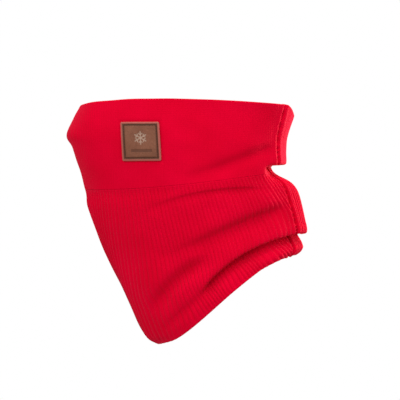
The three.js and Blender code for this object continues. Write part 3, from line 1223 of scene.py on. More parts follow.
@dataclass(frozen=True)
class FibreFinish:
    """Fibres without a weave: fleece, felt, thread or satin.

    Attributes:
        name: The material's name.
        groups: The shared shader groups.
        light: Its lightest colour.
        dark: Its darkest colour, also used as painted shade in the grain's hollows.
        scale: Fibres a metre.
        relief: How high the fibres stand.
        surface: Plain values.
        felted: Share of fibres in the grain; the rest is pebbles.
        patches: Slow patches of colour a metre.
        flecks: Fine flecks of colour for each fibre.
    """

    name: str
    groups: ShaderGroups
    light: Colour
    dark: Colour
    scale: float
    relief: float
    surface: Surface = Surface()
    felted: float = 0.85
    patches: float = 35
    flecks: float = 0.6

    def material(self) -> bpy.types.Material:
        """Builds the material.

        Returns:
            The material.
        """
        material, graph, shader = new_material(self.name, self.surface)
        grain = graph.place(self.groups.grain, {"Scale": self.scale, "Roughness Mix": self.felted})
        colours, scales = (self.light, self.dark), (self.patches, self.scale * self.flecks)
        # Painted shade: the grain's hollows take the dark colour.
        colour = self.groups.dyed_and_gap_shaded(graph, colours, scales, grain["Hollows"])
        graph.feed(shader.inputs["Base Color"], colour)
        add_bump(graph, shader, grain["Height"], self.relief)
        return material


@dataclass(frozen=True)
class LeatherFinish:
    """Oiled brown leather with a pale cut edge, a dark sewn groove and a pressed mark.

    Attributes:
        name: The material's name.
        groups: The shared shader groups.
        face: Colour of the polished face.
        shade: Colour of its darker clouds, and painted shade in the grain's hollows.
        cut: Colour of the cut edge.
        groove: Colour of the sewn groove and the pressed bar.
        mark: Colour of the rubbed mark.
        pebbles: Pebbles of the grain a metre.
        felted: Share of fibres in the grain.
        scales: Slow patches and fine flecks of colour a metre.
        matt: Roughness in the grain's hollows and on its tops.
        relief: How high the grain stands.
        surface: Plain values.
    """

    name: str
    groups: ShaderGroups
    face: Colour = (0.235, 0.08, 0.038, 1)
    shade: Colour = (0.14, 0.042, 0.016, 1)
    cut: Colour = (0.38, 0.085, 0.065, 1)
    groove: Colour = (0.07, 0.018, 0.006, 1)
    mark: Colour = (0.40, 0.27, 0.20, 1)
    pebbles: float = 1500
    felted: float = 0.35
    scales: tuple[float, float] = (90, 700)
    matt: tuple[float, float] = (0.68, 0.46)
    relief: float = 0.12
    surface: Surface = Surface(roughness=0.55, specular=0.35)

    def material(self) -> bpy.types.Material:
        """Builds the material.

        Returns:
            The material.
        """
        material, graph, shader = new_material(self.name, self.surface)
        given = {"Scale": self.pebbles, "Roughness Mix": self.felted}
        grain = graph.place(self.groups.grain, given)
        colours = (self.face, self.shade)
        # Painted shade: the grain's hollows take the darker shade colour.
        colour = self.groups.dyed_and_gap_shaded(graph, colours, self.scales, grain["Hollows"])
        for name, tint in (("Mark", self.mark), ("Groove", self.groove), ("Cut", self.cut)):
            mask = graph.node("ShaderNodeAttribute", attribute_name=name)
            colour = graph.blend(mask.outputs["Fac"], colour, tint)
        graph.feed(shader.inputs["Base Color"], colour)
        graph.feed(shader.inputs["Roughness"], graph.span(grain["Height"], 0, 1, *self.matt))
        add_bump(graph, shader, grain["Height"], self.relief)
        return material


# ---- Sub-assemblies ----

BAND_END = 0.37  # drop where the band ends and the collar begins
SEAM_INSET = 0.5  # from a seam to the cut edges that it joins
KNIT = 2.5  # thickness of the outer knit
SLACK = 1.6  # space between knit and lining
FLEECE = 2.0  # thickness of the lining


def hang(piece: bpy.types.Object, *nodes: str, slot: str, body: str = "") -> None:
    """Hides the CAD nodes a piece stands for and sets what it moves with.

    Args:
        piece: The piece.
        nodes: CAD nodes it stands for.
        slot: The record's material slot; not used.
        body: The CAD body it rides on; without one its placement is baked into its mesh.
    """
    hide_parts(*nodes)
    if body:
        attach(piece, body)
    else:
        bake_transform(piece)
    log.info("made %s", piece.name)


@dataclass
class KnitPanels:
    """Shared making of the outer knit's side panels.

    Attributes:
        tube: The tube they lie on.
        groups: The shared shader groups.
        columns: Cells across a panel.
        rows: Cells down it.
        top: Drop of its upper edge.
        bottom: Drop of its lower edge.
        wale: Width of a stitch.
        course: Height of a stitch.
        start: Where within a stitch the side line lies.
        bulge: How far its rounded edge stands out at the top, end, bottom and start.
        leans: Lean of its wales at places seen from the side: x, z and degrees.
    """

    tube: Tube
    groups: ShaderGroups
    columns: int
    rows: int
    top: float
    bottom: float
    wale: float
    course: float = 1.9
    start: float = 0.0
    bulge: tuple[float, float, float, float] = (0.65, 0.65, 0.65, 0.65)
    leans: tuple[tuple[float, float, float], ...] = ((0, 0, 0),)

    def relief(self, across: Array, turn: Array, drop: Array) -> Array:
        """Height of the knit's own texture; a plain panel has none."""
        return np.zeros(across.shape)

    def stitch_coordinates(self, across: Array, face: Array) -> Array:
        """Counts stitches across the wales and courses down the face.

        Args:
            across: Distances across the wales.
            face: The face's points.

        Returns:
            Coordinates in stitches.
        """
        lengths = np.linalg.norm(np.diff(face, axis=0), axis=-1)
        down = np.concatenate([np.zeros((1, face.shape[1])), np.cumsum(lengths, axis=0)])
        return np.stack([across / self.wale + self.start, -down / self.course], axis=-1)

    def cloth(self, side: Side, name: str) -> Cloth:
        """Shapes a side panel.

        Args:
            side: Its side.
            name: The piece's name.

        Returns:
            The shaped cloth.
        """
        drops = np.linspace(self.top, self.bottom, self.rows + 1)
        turn, drop = self.tube.grid(side, drops, self.columns, SEAM_INSET)
        shape = self.tube.draped(turn, drop)
        normals = grid_normals(shape)
        across = Wales(self.tube, self.top, self.leans).across(turn, drop)
        face = shape + normals * self.relief(across, turn, drop)[..., None]
        back = thinned(shape - self.tube.outward(turn, drop) * KNIT)
        return Cloth(name, face, back, self.stitch_coordinates(across, shape), self.bulge)


@dataclass
class FaceBand(KnitPanels):
    """The smooth jersey band over the nose and cheeks.

    Attributes:
        ripple: Depth of the furrows between the wales.
        pressed: Depth of the hollow round the patch.
        press_at: How far beyond the patch's edge that hollow is deepest.
        press_reach: Its half width.
        patch: The patch that presses into it.
    """

    columns: int = 360
    rows: int = 96
    top: float = 0.0048
    bottom: float = BAND_END - 0.0002
    wale: float = 2.7
    start: float = 0.5
    bulge: tuple[float, float, float, float] = (1.2, 0.65, 0.03, 0.65)
    ripple: float = 0.24
    pressed: float = 0.8
    press_at: float = 0.3
    press_reach: float = 1.8
    patch: "Patch" = field(kw_only=True)

    def relief(self, across: Array, turn: Array, drop: Array) -> Array:
        """Height of the furrows between the wales and of the hollow pressed round the patch.

        Args:
            across: Distances across the wales.
            turn: Turns of the places.
            drop: Drops of the places.

        Returns:
            Heights.
        """
        furrows = self.ripple * (np.cos(across * (2 * math.pi / self.wale)) - 1) / 2
        side = self.tube.smooth(turn, drop)
        a, b = self.patch.seen_from(side[..., 0], side[..., 2])
        beyond = np.maximum(np.abs(a), np.abs(b)) - self.patch.side / 2
        hollow = self.pressed * bell(beyond - self.press_at, self.press_reach)
        return furrows - np.where(turn < 1, hollow, 0)

    def build(self) -> None:
        """Makes both side panels."""
        finish = KnitFinish("JerseyKnit", self.groups, relief=0.16).material()
        for side in Side:
            piece = self.cloth(side, f"band_{side.value}_jersey").build(finish)
            hang(piece, f"band_{side.value}", slot="face_knit", body="face_band")


@dataclass
class Collar(KnitPanels):
    """The ribbed collar that runs down to a point on the chest.

    Attributes:
        pitch: Width of a rib.
        deep: Depth of every second groove.
        shallow: Depth of the grooves between them.
        groove: Half width of a groove.
        onset: Drop over which the ribs form below the band.
        early: How far above the band's end they begin, as a share of the onset.
        pressed: How much shallower the grooves are at the turned hem, as a share.
        turned: Height of that hem, in drop.
    """

    columns: int = 624
    rows: int = 150
    top: float = BAND_END + 0.0002
    bottom: float = 0.9935
    bulge: tuple[float, float, float, float] = (0.03, 0.65, 1.2, 0.65)
    pitch: float = 3.95
    wale: float = pitch / 2
    deep: float = 1.25
    shallow: float = 0.95
    groove: float = 0.85
    onset: float = 0.03
    early: float = 0.3
    pressed: float = 0.8
    turned: float = 0.012
    leans: tuple[tuple[float, float, float], ...] = (
        (-90, -18, 6), (-30, -15, 9), (20, -4, 15), (60, 0, 22), (100, 0, 36),
        (-65, -60, 6), (-15, -45, 14), (45, -25, 18), (100, -18, 36),
        (-45, -95, 8), (10, -75, 15), (55, -55, 13), (100, -40, 12),
        (-30, -125, 20), (25, -88, 9), (65, -66, 0), (105, -50, 0),
        (-20, -148, 20), (25, -118, 34), (70, -85, 38), (100, -68, 36),
    )

    def relief(self, across: Array, turn: Array, drop: Array) -> Array:
        """Height of the ribs.

        Args:
            across: Distances across the wales.
            turn: Turns of the places.
            drop: Drops of the places.

        Returns:
            Heights, 0 on a rib and below 0 in a groove.
        """
        pairs = across / (2 * self.pitch)
        to_deep = np.abs(pairs - np.round(pairs)) * 2 * self.pitch
        to_shallow = self.pitch - to_deep
        height = self.deep * bell(to_deep, self.groove)
        height = height + self.shallow * bell(to_shallow, self.groove)
        formed = smoothstep(drop, BAND_END - self.early * self.onset, BAND_END + self.onset)
        at_hem = smoothstep(drop, self.bottom - self.turned, self.bottom)
        return -height * formed * (1 - self.pressed * at_hem)

    def build(self) -> None:
        """Makes both side panels."""
        finish = KnitFinish("RibKnit", self.groups).material()
        for side in Side:
            piece = self.cloth(side, f"rib_{side.value}_knit").build(finish)
            hang(piece, f"rib_{side.value}", slot="rib_knit")


@dataclass
class Lining:
    """The fleece lining inside band and collar.

    Attributes:
        tube: The tube it lies on.
        groups: The shared shader groups.
        columns: Cells across a side panel.
        rows: Cells down it.
        top: Drop of its upper edge.
        bottom: Drop of its lower edge.
        nap: How uneven its brushed inside is.
        tufts: Share of that height and waves of its tufts.
        bulge: How far its rounded edge stands out at the top, end, bottom and start.
        uv_scale: Coordinates of the mesh in one unit of turn or drop.
    """

    tube: Tube
    groups: ShaderGroups
    columns: int = 240
    rows: int = 180
    top: float = 0.018
    bottom: float = 0.981
    nap: float = 0.22
    tufts: tuple[tuple[float, Waves], ...] = ((1.0, Waves(4.2, 11)), (0.6, Waves(2.3, 17)))
    bulge: tuple[float, float, float, float] = (0.9, 0.65, 0.9, 0.65)
    uv_scale: float = 200

    def build(self) -> None:
        """Makes both side panels."""
        finish = FibreFinish(
            "Fleece", self.groups, light=(0.60, 0.001, 0.015, 1), dark=(0.42, 0.0, 0.008, 1),
            scale=900, relief=0.9,
            surface=Surface(roughness=0.95, sheen=0.35, sheen_roughness=0.5)).material()
        drops = np.linspace(self.top, self.bottom, self.rows + 1)
        for side in Side:
            turn, drop = self.tube.grid(side, drops, self.columns, SEAM_INSET)
            shape, out = self.tube.draped(turn, drop, soft=True), self.tube.outward(turn, drop)
            nap = self.nap * sum(share * waves.read(shape) for share, waves in self.tufts)
            inside = shape - out * (KNIT + SLACK + FLEECE + nap)[..., None]
            outside = thinned(shape - out * (KNIT + SLACK))
            uv = np.stack([turn, drop], axis=-1) * self.uv_scale
            cloth = Cloth(f"lining_{side.value}_fleece", inside, outside, uv, self.bulge)
            piece = cloth.build(finish)
            hang(piece, f"lining_{side.value}", slot="fleece")


@dataclass
class Threads:
    """The sewing threads of seams, rim, link line and hem.

    Attributes:
        tube: The tube they lie on.
        groups: The shared shader groups.
        radius: The thread's radius.
        sides: Sides of its section.
        stitch: Length of one stitch.
        steps: Steps of the path in a stitch.
        width: How far a seam's thread goes to either side.
        overlock: How far the lining's seam thread goes to either side.
        seam_depths: Depth of a seam's thread over the seam and at its turns.
        link_depths: Least and greatest depth of the link line's thread.
        lining_rise: How far the lining's seam thread stands out over the seam and at its turns.
        hem_rise: How far the stitching of rim and hem stands out inside.
        clear: How far seam threads stay from the link line and the rim, in drop.
        rib_end: Drop where the collar's seam threads end.
        lining_ends: Drops between which the lining's seam threads run.
        rim: Drop of the rim's stitching.
        hem: Drop of the hem's stitching.
        join: Gap in turn between a running stitch's end and the front seam.
        firm: How flat a running stitch lies between its dips.
    """

    tube: Tube
    groups: ShaderGroups
    radius: float = 0.3
    sides: int = 6
    stitch: float = 3.0
    steps: int = 8
    width: float = 0.6
    overlock: float = 1.8
    seam_depths: tuple[float, float] = (2.1, 2.4)
    link_depths: tuple[float, float] = (1.9, 2.3)
    lining_rise: tuple[float, float] = (0.25, -0.4)
    hem_rise: float = 0.2
    clear: float = 0.01
    rib_end: float = 0.985
    lining_ends: tuple[float, float] = (0.022, 0.978)
    rim: float = 0.032
    hem: float = 0.965
    join: float = 0.02
    firm: float = 2.2

    def finish(self) -> bpy.types.Material:
        """The thread's finish."""
        return FibreFinish("SewingThread", self.groups, *THREAD_REDS, scale=2600, relief=0.15,
                           surface=Surface(roughness=0.7, specular=0.2)).material()

    def phases(self, length: float) -> Array:
        """The phase of the stitches at each step of a thread of a given length."""
        count = int(length / self.stitch)
        return np.linspace(0, count * 2 * math.pi, count * self.steps + 1)

    def layer_points(self, turn: Array, drop: Array, depth: Array, soft: bool) -> Array:
        """Points at a depth behind the cloth's face.

        Args:
            turn: Places round the tube.
            drop: Places down it.
            depth: Depth of each.
            soft: Whether the depth is measured from the softer shape of the lining.

        Returns:
            The points.
        """
        return self.tube.draped(turn, drop, soft) - self.tube.outward(turn, drop) * depth[..., None]

    def ladder(
        self, seam: Seam, ends: tuple[float, float], width: float, depths: tuple[float, float],
        soft: bool = False
    ) -> Array:
        """A thread that crosses a seam from side to side as it runs down it.

        Args:
            seam: The seam.
            ends: Drops where it begins and ends.
            width: How far it goes to either side.
            depths: Its depth over the seam and at its turns.
            soft: Whether it lies on the lining.

        Returns:
            The thread's path.
        """
        phase = self.phases((ends[1] - ends[0]) * DOWN_LENGTH)
        drop = np.linspace(*ends, len(phase))
        turn = np.full(drop.shape, seam.value)
        turn = turn + self.tube.turn_for(width, turn, drop) * np.sin(phase)
        depth = depths[0] + (depths[1] - depths[0]) * np.square(np.sin(phase))
        return self.layer_points(turn, drop, depth, soft)

    def running(self, drop: float, depths: tuple[float, float], soft: bool = False) -> Array:
        """A running stitch round the tube.

        Args:
            drop: Where it runs.
            depths: Its least and its greatest depth.
            soft: Whether it lies on the lining.

        Returns:
            The thread's path.
        """
        start, end = Seam.FRONT.value + self.join, Seam.FRONT.value + 2 - self.join
        phase = self.phases((end - start) * TURN_LENGTH)
        turn = np.linspace(start, end, len(phase))
        wave = np.tanh(self.firm * np.cos(phase)) / math.tanh(self.firm)
        depth = depths[0] + (depths[1] - depths[0]) * (0.5 - 0.5 * wave)
        return self.layer_points(turn, np.full(turn.shape, drop), depth, soft)

    def make(
        self, name: str, node: str, path: Array, finish: bpy.types.Material, body: str = ""
    ) -> None:
        """Makes one thread.

        Args:
            name: The piece's name.
            node: The CAD node it stands for.
            path: Its centre line.
            finish: Its finish.
            body: The body it rides on, or none.
        """
        points, faces = strand(path, self.radius, self.sides)
        piece = mesh_object(name, points, faces, finish)
        hang(piece, node, slot="seam_thread", body=body)

    def build(self) -> None:
        """Makes every thread."""
        finish = self.finish()
        inside = KNIT + SLACK + FLEECE
        over, turned = self.lining_rise
        lining_depths = (inside + over, inside + turned)
        through_lining = (KNIT + SLACK / 2, inside + self.hem_rise)
        band_ends = (self.clear, BAND_END - self.clear)
        rib_ends = (BAND_END + self.clear, self.rib_end)
        for seam in Seam:
            name = seam.name.lower()
            band = self.ladder(seam, band_ends, self.width, self.seam_depths)
            collar = self.ladder(seam, rib_ends, self.width, self.seam_depths)
            lining = self.ladder(seam, self.lining_ends, self.overlock, lining_depths, True)
            self.make(f"band_{name}_ladder", f"band_{name}_seam_thread", band, finish, "face_band")
            self.make(f"rib_{name}_ladder", f"rib_{name}_seam_thread", collar, finish)
            self.make(f"lining_{name}_overlock", f"lining_{name}_seam_thread", lining, finish)
        rim, hem = (self.running(drop, through_lining, True) for drop in (self.rim, self.hem))
        link = self.running(BAND_END, self.link_depths)
        self.make("rim_running_stitch", "rim_thread", rim, finish, "face_band")
        self.make("hem_running_stitch", "hem_thread", hem, finish, "collar")
        self.make("linking_chain", "linking_thread", link, finish, "face_band")


@dataclass(frozen=True)
class Snowflake:
    """A plain six armed snowflake. Each pair is where one of its edges begins and ends to fade.

    Attributes:
        arm_side: An arm's edges, off its middle line.
        arm_root: Its end at the middle of the snowflake.
        arm_tip: Its outer end.
        twig_at: Where on an arm its twigs leave it.
        twig_lean: How far a twig goes outward for its way to the side.
        twig_slant: How much narrower a twig is than its width along the arm.
        twig_side: A twig's edges, off its middle line.
        twig_tip: A twig's end, off the arm.
    """

    arm_side: tuple[float, float] = (0.45, 0.8)
    arm_root: tuple[float, float] = (-0.2, 0.2)
    arm_tip: tuple[float, float] = (6.6, 7.0)
    twig_at: float = 3.4
    twig_lean: float = 0.62
    twig_slant: float = 0.85
    twig_side: tuple[float, float] = (0.4, 0.7)
    twig_tip: tuple[float, float] = (2.0, 2.3)

    def mask(self, a: Array, b: Array) -> Array:
        """Where its lines lie.

        Args:
            a: Distances back from its centre.
            b: Distances up from it.

        Returns:
            1 inside its lines and 0 outside, with soft edges.
        """
        mask = np.zeros(a.shape)
        for k in range(6):
            angle = math.pi / 2 + k * math.pi / 3
            along = a * math.cos(angle) + b * math.sin(angle)
            off = np.abs(b * math.cos(angle) - a * math.sin(angle))
            arm = fade(off, *self.arm_side) * smoothstep(along, *self.arm_root)
            twig_off = np.abs(along - self.twig_at - off * self.twig_lean) * self.twig_slant
            twig = fade(twig_off, *self.twig_side) * fade(off, *self.twig_tip) * (along > 0)
            mask = np.maximum(mask, np.maximum(arm * fade(along, *self.arm_tip), twig))
        return mask


@dataclass
class Patch:
    """The square leather patch, its stitching and the felt behind it.

    Attributes:
        tube: The tube it lies on.
        groups: The shared shader groups.
        side: The leather's side.
        corner: Radius of its corners.
        lean: How far its sides lean, as a share of their length.
        shift: How far back and up it is sewn from the middle of the CAD node.
        top: How far its face stands above the knit.
        sink: How far its back presses into the knit.
        groove_at: Distance from the edge to the sewn groove.
        groove_width: Half width of the groove.
        groove_depth: Depth of the groove.
        groove_spread: How much wider the groove's dark colour is, as a share.
        shades: How strongly groove, bar and mark are coloured.
        cut: Distances from the edge between which the cut edge's colour fades.
        rounding: How far the face falls off at its edge, and over what distance.
        snowflake: The mark pressed into it.
        mark_up: How far above the centre the mark is.
        mark_depth: How deep it is pressed.
        bar_at: Centre of the pressed bar, back and up.
        bar_half: Half the bar's length and height.
        bar_depth: How deep it is pressed.
        soft: How softly the bar's edges fade.
        cells: Mesh cells along a side.
        stitch: Length of a stitch with the gap after it.
        gap: Half of that gap.
        arch: How far a stitch rises, and how bluntly.
        dip: How far below the groove it begins.
        thread: Radius of its thread.
        felt_side: Side of the felt behind it.
        felt_cells: Mesh cells along that side.
        felt: Thickness of the felt.
        behind: Space between knit and felt.
        fibres: Height and waves of the felt's unevenness.
        centre: Its centre as x and z.
    """

    tube: Tube
    groups: ShaderGroups
    side: float = 39.4
    corner: float = 1.2
    lean: float = 0.06
    shift: tuple[float, float] = (1.9, -1.2)
    top: float = 1.9
    sink: float = 0.3
    groove_at: float = 2.9
    groove_width: float = 0.85
    groove_depth: float = 0.55
    groove_spread: float = 1.25
    shades: tuple[float, float, float] = (0.92, 0.55, 0.75)
    cut: tuple[float, float] = (1.1, 1.8)
    rounding: tuple[float, float] = (0.5, 0.7)
    snowflake: Snowflake = Snowflake()
    mark_up: float = 3.6
    mark_depth: float = 0.35
    bar_at: tuple[float, float] = (0.5, -9.6)
    bar_half: tuple[float, float] = (10.5, 1.2)
    bar_depth: float = 0.3
    soft: float = 0.5
    cells: int = 186
    stitch: float = 2.6
    gap: float = 0.35
    arch: tuple[float, float] = (0.62, 0.6)
    dip: float = 0.35
    thread: float = 0.34
    felt_side: float = 36.0
    felt_cells: int = 60
    felt: float = 0.4
    behind: float = 0.5
    fibres: tuple[float, Waves] = (0.05, Waves(3.0, 23))
    centre: tuple[float, float] = field(init=False)

    def __post_init__(self) -> None:
        """Takes the patch's centre from the CAD node."""
        middle = sum(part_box("leather_patch"), Vector((0, 0, 0))) / 2 / MM
        self.centre = (middle.x + self.shift[0], middle.z + self.shift[1])

    def seen_from(self, x: Array, z: Array) -> tuple[Array, Array]:
        """Distances back and up from the patch's centre, for places seen from the side."""
        b = z - self.centre[1]
        return x - self.centre[0] + self.lean * b, b

    def on_cheek(self, a: Array, b: Array, height: Array | float) -> Array:
        """Points over the cheek.

        Args:
            a: Distances back from the patch's centre.
            b: Distances up from it.
            height: Heights above the knit.

        Returns:
            The points.
        """
        x, z = self.centre[0] + a - self.lean * b, self.centre[1] + b
        turn, drop = self.tube.place_at(x, z)
        lift = self.tube.outward(turn, drop) * np.asarray(height)[..., None]
        return self.tube.draped(turn, drop) + lift

    def rounded(self, side: float, cells: int) -> tuple[Array, Array]:
        """A square grid with rounded corners.

        Args:
            side: The square's side.
            cells: Cells along a side.

        Returns:
            Distances back and up of each grid point, rows from the top.
        """
        line = np.linspace(-side / 2, side / 2, cells + 1)
        a, b = np.meshgrid(line, -line)
        inner = side / 2 - self.corner
        over_a, over_b = np.maximum(np.abs(a) - inner, 0), np.maximum(np.abs(b) - inner, 0)
        reach = np.maximum(np.hypot(over_a, over_b), 1e-9)
        pull = np.where((over_a > 0) & (over_b > 0), np.maximum(over_a, over_b) / reach, 1)
        a = np.where(over_a > 0, np.sign(a) * (inner + over_a * pull), a)
        b = np.where(over_b > 0, np.sign(b) * (inner + over_b * pull), b)
        return a, b

    def masks(self, a: Array, b: Array) -> dict[str, Array]:
        """Where the leather's edge, groove and mark lie.

        Args:
            a: Distances back from the patch's centre.
            b: Distances up from it.

        Returns:
            Masks from 0 to 1 by name.
        """
        edge = self.side / 2 - np.maximum(np.abs(a), np.abs(b))
        bar = np.ones(a.shape)
        for distance, at, half in zip((a, b), self.bar_at, self.bar_half):
            bar = bar * fade(np.abs(distance - at), half, half + self.soft)
        groove = bell(edge - self.groove_at, self.groove_width * self.groove_spread)
        groove_shade, bar_shade, mark_shade = self.shades
        return {
            "Cut": fade(edge, *self.cut),
            "Groove": np.maximum(groove_shade * groove, bar_shade * bar),
            "Mark": mark_shade * self.snowflake.mask(a, b - self.mark_up),
            "Bar": bar,
        }

    def leather(self) -> bpy.types.Object:
        """Makes the leather.

        Returns:
            The piece.
        """
        a, b = self.rounded(self.side, self.cells)
        masks = self.masks(a, b)
        edge = self.side / 2 - np.maximum(np.abs(a), np.abs(b))
        fall, fall_reach = self.rounding
        height = self.top - fall * bell(edge, fall_reach)
        height = height - self.groove_depth * bell(edge - self.groove_at, self.groove_width)
        height = height - self.mark_depth * masks["Mark"] - self.bar_depth * masks["Bar"]
        face = self.on_cheek(a, b, height)
        back = self.on_cheek(thinned(a), thinned(b), -self.sink)
        cloth = Cloth("patch_leather_square", face, back, np.stack([a, b], axis=-1), (0.35,) * 4)
        piece = cloth.build(LeatherFinish("PatchLeather", self.groups).material())
        size = len(piece.data.vertices)
        for name in ("Cut", "Groove", "Mark"):
            values = np.full(size, name == "Cut", np.float32)
            values[: a.size] = masks[name].ravel()
            attribute = piece.data.attributes.new(name, "FLOAT", "POINT")
            attribute.data.foreach_set("value", values)
        return piece

    def stitch_paths(self) -> list[Array]:
        """The path of each stitch round the patch.

        Returns:
            One path a stitch.
        """
        half = self.side / 2 - self.groove_at
        count = round(2 * half / self.stitch)
        length = 2 * half / count
        share = np.linspace(0, 1, STITCH_POINTS)
        rise, bluntness = self.arch
        arch = rise * np.power(np.sin(math.pi * share), bluntness)
        lift = self.top - self.groove_depth - self.dip + arch
        paths = []
        for angle in (0, math.pi / 2, math.pi, 1.5 * math.pi):
            for n in range(count):
                start = -half + n * length + self.gap
                s = np.linspace(start, start + length - 2 * self.gap, STITCH_POINTS)
                a = s * math.cos(angle) - half * math.sin(angle)
                b = s * math.sin(angle) + half * math.cos(angle)
                paths.append(self.on_cheek(a, b, lift))
        return paths

    def build(self) -> None:
        """Makes leather, stitching and felt."""
        hang(self.leather(), "leather_patch", slot="patch_leather", body="face_band")
        finish = FibreFinish(
            "PatchThread", self.groups, light=(0.11, 0.035, 0.016, 1), dark=(0.05, 0.014, 0.006, 1),
            scale=2600, relief=0.15, surface=Surface(roughness=0.6, specular=0.3)).material()
        points, faces = strands(self.stitch_paths(), self.thread)
        thread = mesh_object("patch_lockstitch", points, faces, finish)
        hang(thread, "patch_stitching", slot="patch_thread", body="face_band")
        a, b = self.rounded(self.felt_side, self.felt_cells)
        low = KNIT + self.behind
        height, waves = self.fibres
        fibres = height * waves.read(np.stack([a, b, 0 * a], axis=-1))
        face = self.on_cheek(a, b, -low + fibres)
        back = self.on_cheek(thinned(a), thinned(b), -low - self.felt)
        finish = FibreFinish(
            "BackingFelt", self.groups, light=(0.72, 0.68, 0.6, 1), dark=(0.55, 0.5, 0.43, 1),
            scale=1400, relief=0.2).material()
        cloth = Cloth("patch_felt", face, back, np.stack([a, b], axis=-1), (0.1,) * 4)
        hang(cloth.build(finish), "patch_backing", slot="backing_felt", body="face_band")


@dataclass
class CareLabel:
    """The blank folded satin label inside the nape, and the stitches that hold it.

    Attributes:
        groups: The shared shader groups.
        ply: Thickness of one ply of satin.
        curl: How far the folded end swings forward.
        narrowing: How much narrower it is at the fold, as a share.
        wave: How far it waves across, and the pace and start of that wave.
        cells: Mesh cells across.
        rows: Mesh cells down each ply, and round the fold.
        stitches: Stitches that hold it.
        thread: Radius of their thread.
        rise: How far a stitch stands out.
        reach: Where a stitch begins and ends within its share of the width.
    """

    groups: ShaderGroups
    ply: float = 0.24
    curl: float = 1.6
    narrowing: float = 0.02
    wave: tuple[float, float, float] = (0.35, 0.24, 0.6)
    cells: int = 36
    rows: tuple[int, int] = (40, 12)
    stitches: int = 9
    thread: float = 0.26
    rise: float = 0.3
    reach: tuple[float, float] = (0.08, 0.92)

    def ribbon(self) -> Cloth:
        """Shapes the folded satin.

        Returns:
            The shaped cloth.
        """
        low, high = (np.array(corner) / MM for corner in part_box("care_label"))
        length, front, rear = high[2] - low[2], low[0] + self.ply / 2, high[0] - self.ply / 2
        bend, (straight, round_fold) = (rear - front) / 2, self.rows
        down = np.linspace(0, length - bend, straight)
        around = np.linspace(0, math.pi, round_fold)[1:-1]
        fold_x, fold_z = front + bend * (1 - np.cos(around)), low[2] + bend * (1 - np.sin(around))
        x = np.concatenate([np.full(straight, front), fold_x, np.full(straight, rear)])
        z = np.concatenate([high[2] - down, fold_z, high[2] - down[::-1]])
        share = ((high[2] - z) / length)[:, None]
        y = np.linspace(low[1], high[1], self.cells + 1)
        height, pace, start = self.wave
        sag = self.curl * share**2 - height * np.sin(y * pace + start) * share**2
        across = y * (1 - self.narrowing * share)
        middle = np.stack([x[:, None] - sag, across, z[:, None] + 0 * y], axis=-1)
        out = grid_normals(middle) * self.ply / 2
        uv = np.stack(np.meshgrid(y, np.arange(len(z))), axis=-1)
        last = (len(z) - 1) // BACK_STEP * BACK_STEP + 1
        face, back = (middle + out)[:last], thinned((middle - out)[:last])
        return Cloth("care_label_satin", face, back, uv[:last], (0.1,) * 4)

    def build(self) -> None:
        """Makes the label and its stitches."""
        satin = FibreFinish(
            "LabelSatin", self.groups, light=(0.86, 0.84, 0.79, 1), dark=(0.74, 0.71, 0.65, 1),
            scale=2200, relief=0.06,
            surface=Surface(roughness=0.38, specular=0.45, sheen=0.2, sheen_tint=(1, 1, 1, 1)))
        piece = self.ribbon().build(satin.material())
        hang(piece, "care_label", slot="label_satin", body="care_label")
        low, high = (np.array(corner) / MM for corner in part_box("label_thread"))
        pitch = (high[1] - low[1]) / self.stitches
        s = np.linspace(*self.reach, STITCH_POINTS)
        x = low[0] + self.rise / 2 - self.rise * np.sin(math.pi * s)
        z = np.full(s.shape, (low[2] + high[2]) / 2)
        paths = [np.stack([x, low[1] + (k + s) * pitch, z], axis=-1) for k in range(self.stitches)]
        points, faces = strands(paths, self.thread)
        finish = FibreFinish("LabelThread", self.groups, *THREAD_REDS, scale=2600, relief=0.1)
        thread = mesh_object("label_stitches", points, faces, finish.material())
        hang(thread, "label_thread", slot="seam_thread", body="face_band")


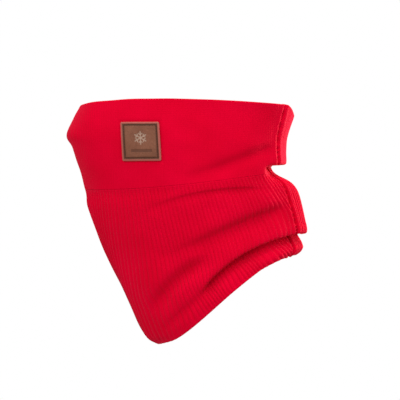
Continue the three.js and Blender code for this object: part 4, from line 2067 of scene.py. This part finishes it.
@dataclass
class Studio:
    """Floor, soft light and camera.

    Attributes:
        aim: Point the camera looks at, in metres.
        distance: The camera's distance from the object's middle plane.
        lens: Its focal length in mm.
        sensor: Width of its sensor in mm.
        floor_level: Height of the floor.
        floor_radius: Radius of the floor.
        floor_sides: Sides of the floor's outline.
        horizon: Height in the sky's unit sphere over which the light from below gives way.
        glow_above: Light from the surroundings above the object.
        glow_below: Light from the surroundings below it.
    """

    aim: tuple[float, float, float] = (0.0126, 0.0, -0.0168)
    distance: float = 2.333
    lens: float = 200.0
    sensor: float = 36.0
    floor_level: float = -0.5
    floor_radius: float = 1.2
    floor_sides: int = 96
    horizon: float = 0.5
    glow_above: float = 0.84
    glow_below: float = 0.6

    def floor(self) -> None:
        """Makes the plain pale floor."""
        count = self.floor_sides
        angles = np.linspace(0, 2 * math.pi, count, endpoint=False)
        ring = np.stack([np.cos(angles), np.sin(angles), 0 * angles], axis=-1) * self.floor_radius
        points = (np.concatenate([ring, ring / 2]) + [0, 0, self.floor_level]) / MM
        nexts = [(k + 1) % count for k in range(count)]
        faces = [[k, after, count + after, count + k] for k, after in enumerate(nexts)]
        faces.append(list(range(count, 2 * count)))
        material, graph, shader = new_material("PaleFloor", Surface(roughness=0.8, specular=0.1))
        cloud = graph.noise(graph.here(), 6, 3)
        colour = graph.blend(cloud, (0.86, 0.86, 0.86, 1), (0.82, 0.82, 0.82, 1))
        graph.feed(shader.inputs["Base Color"], colour)
        piece = mesh_object("floor", points, faces, material)
        piece.visible_diffuse = piece.visible_glossy = False

    def lamp(self, name: str, place: tuple[float, float, float], size: float, power: float) -> None:
        """Makes a soft square lamp that faces the object.

        Args:
            name: Its name.
            place: Where it stands, in metres.
            size: Its side in metres.
            power: Its power in watts.
        """
        data = bpy.data.lights.new(name, "AREA")
        data.size, data.energy = size, power
        lamp = bpy.data.objects.new(name, data)
        lamp.location = place
        lamp.rotation_euler = (Vector(self.aim) - Vector(place)).to_track_quat("-Z", "Y").to_euler()
        lamp.visible_camera = False
        bpy.context.scene.collection.objects.link(lamp)

    def sky(self) -> None:
        """Makes the even pale surroundings, darker below."""
        world = bpy.data.worlds.new("Studio")
        world.use_nodes = True
        bpy.context.scene.world = world
        graph = Graph(world.node_tree)
        split = graph.node("ShaderNodeSeparateXYZ")
        graph.feed(split.inputs[0], graph.node("ShaderNodeTexCoord").outputs["Generated"])
        background = graph.node("ShaderNodeBackground")
        graph.feed(background.inputs["Color"], (1, 1, 1, 1))
        glow = graph.span(split.outputs[2], -self.horizon, self.horizon, self.glow_below,
                          self.glow_above)
        seen = graph.node("ShaderNodeLightPath").outputs["Is Camera Ray"]
        unseen = graph.math("SUBTRACT", 1.0, seen)
        strength = graph.math("ADD", graph.math("MULTIPLY", glow, unseen), seen)
        graph.feed(background.inputs["Strength"], strength)
        graph.feed(graph.node("ShaderNodeOutputWorld").inputs["Surface"], background.outputs[0])

    def camera(self) -> None:
        """Makes the camera, level and square to the wearer's left."""
        data = bpy.data.cameras.new("Camera")
        data.lens, data.sensor_width = self.lens, self.sensor
        camera = bpy.data.objects.new("Camera", data)
        camera.location = (self.aim[0], -self.distance, self.aim[2])
        camera.rotation_euler = (math.pi / 2, 0, 0)
        bpy.context.scene.collection.objects.link(camera)
        bpy.context.scene.camera = camera

    def build(self) -> None:
        """Makes the whole studio."""
        self.camera()
        self.floor()
        self.sky()
        self.lamp("key", place=(-0.5, -1.7, 0.7), size=1.0, power=12.5)
        self.lamp("top", place=(0.5, -0.5, 1.9), size=0.8, power=18)
        self.lamp("rim", place=(1.15, 0.9, 0.2), size=0.8, power=48)
        bpy.context.scene.view_settings.view_transform = "Standard"
        bpy.context.scene.view_settings.look = "None"


def main() -> None:
    """Builds the studio and every sub-assembly, in order."""
    logging.basicConfig(level=logging.INFO, format="%(name)s: %(message)s")
    tube, groups = Tube(), ShaderGroups()
    patch = Patch(tube, groups)
    Studio().build()
    FaceBand(tube, groups, patch=patch).build()
    Collar(tube, groups).build()
    Lining(tube, groups).build()
    Threads(tube, groups).build()
    patch.build()
    CareLabel(groups).build()


if __name__ == "__main__":
    main()
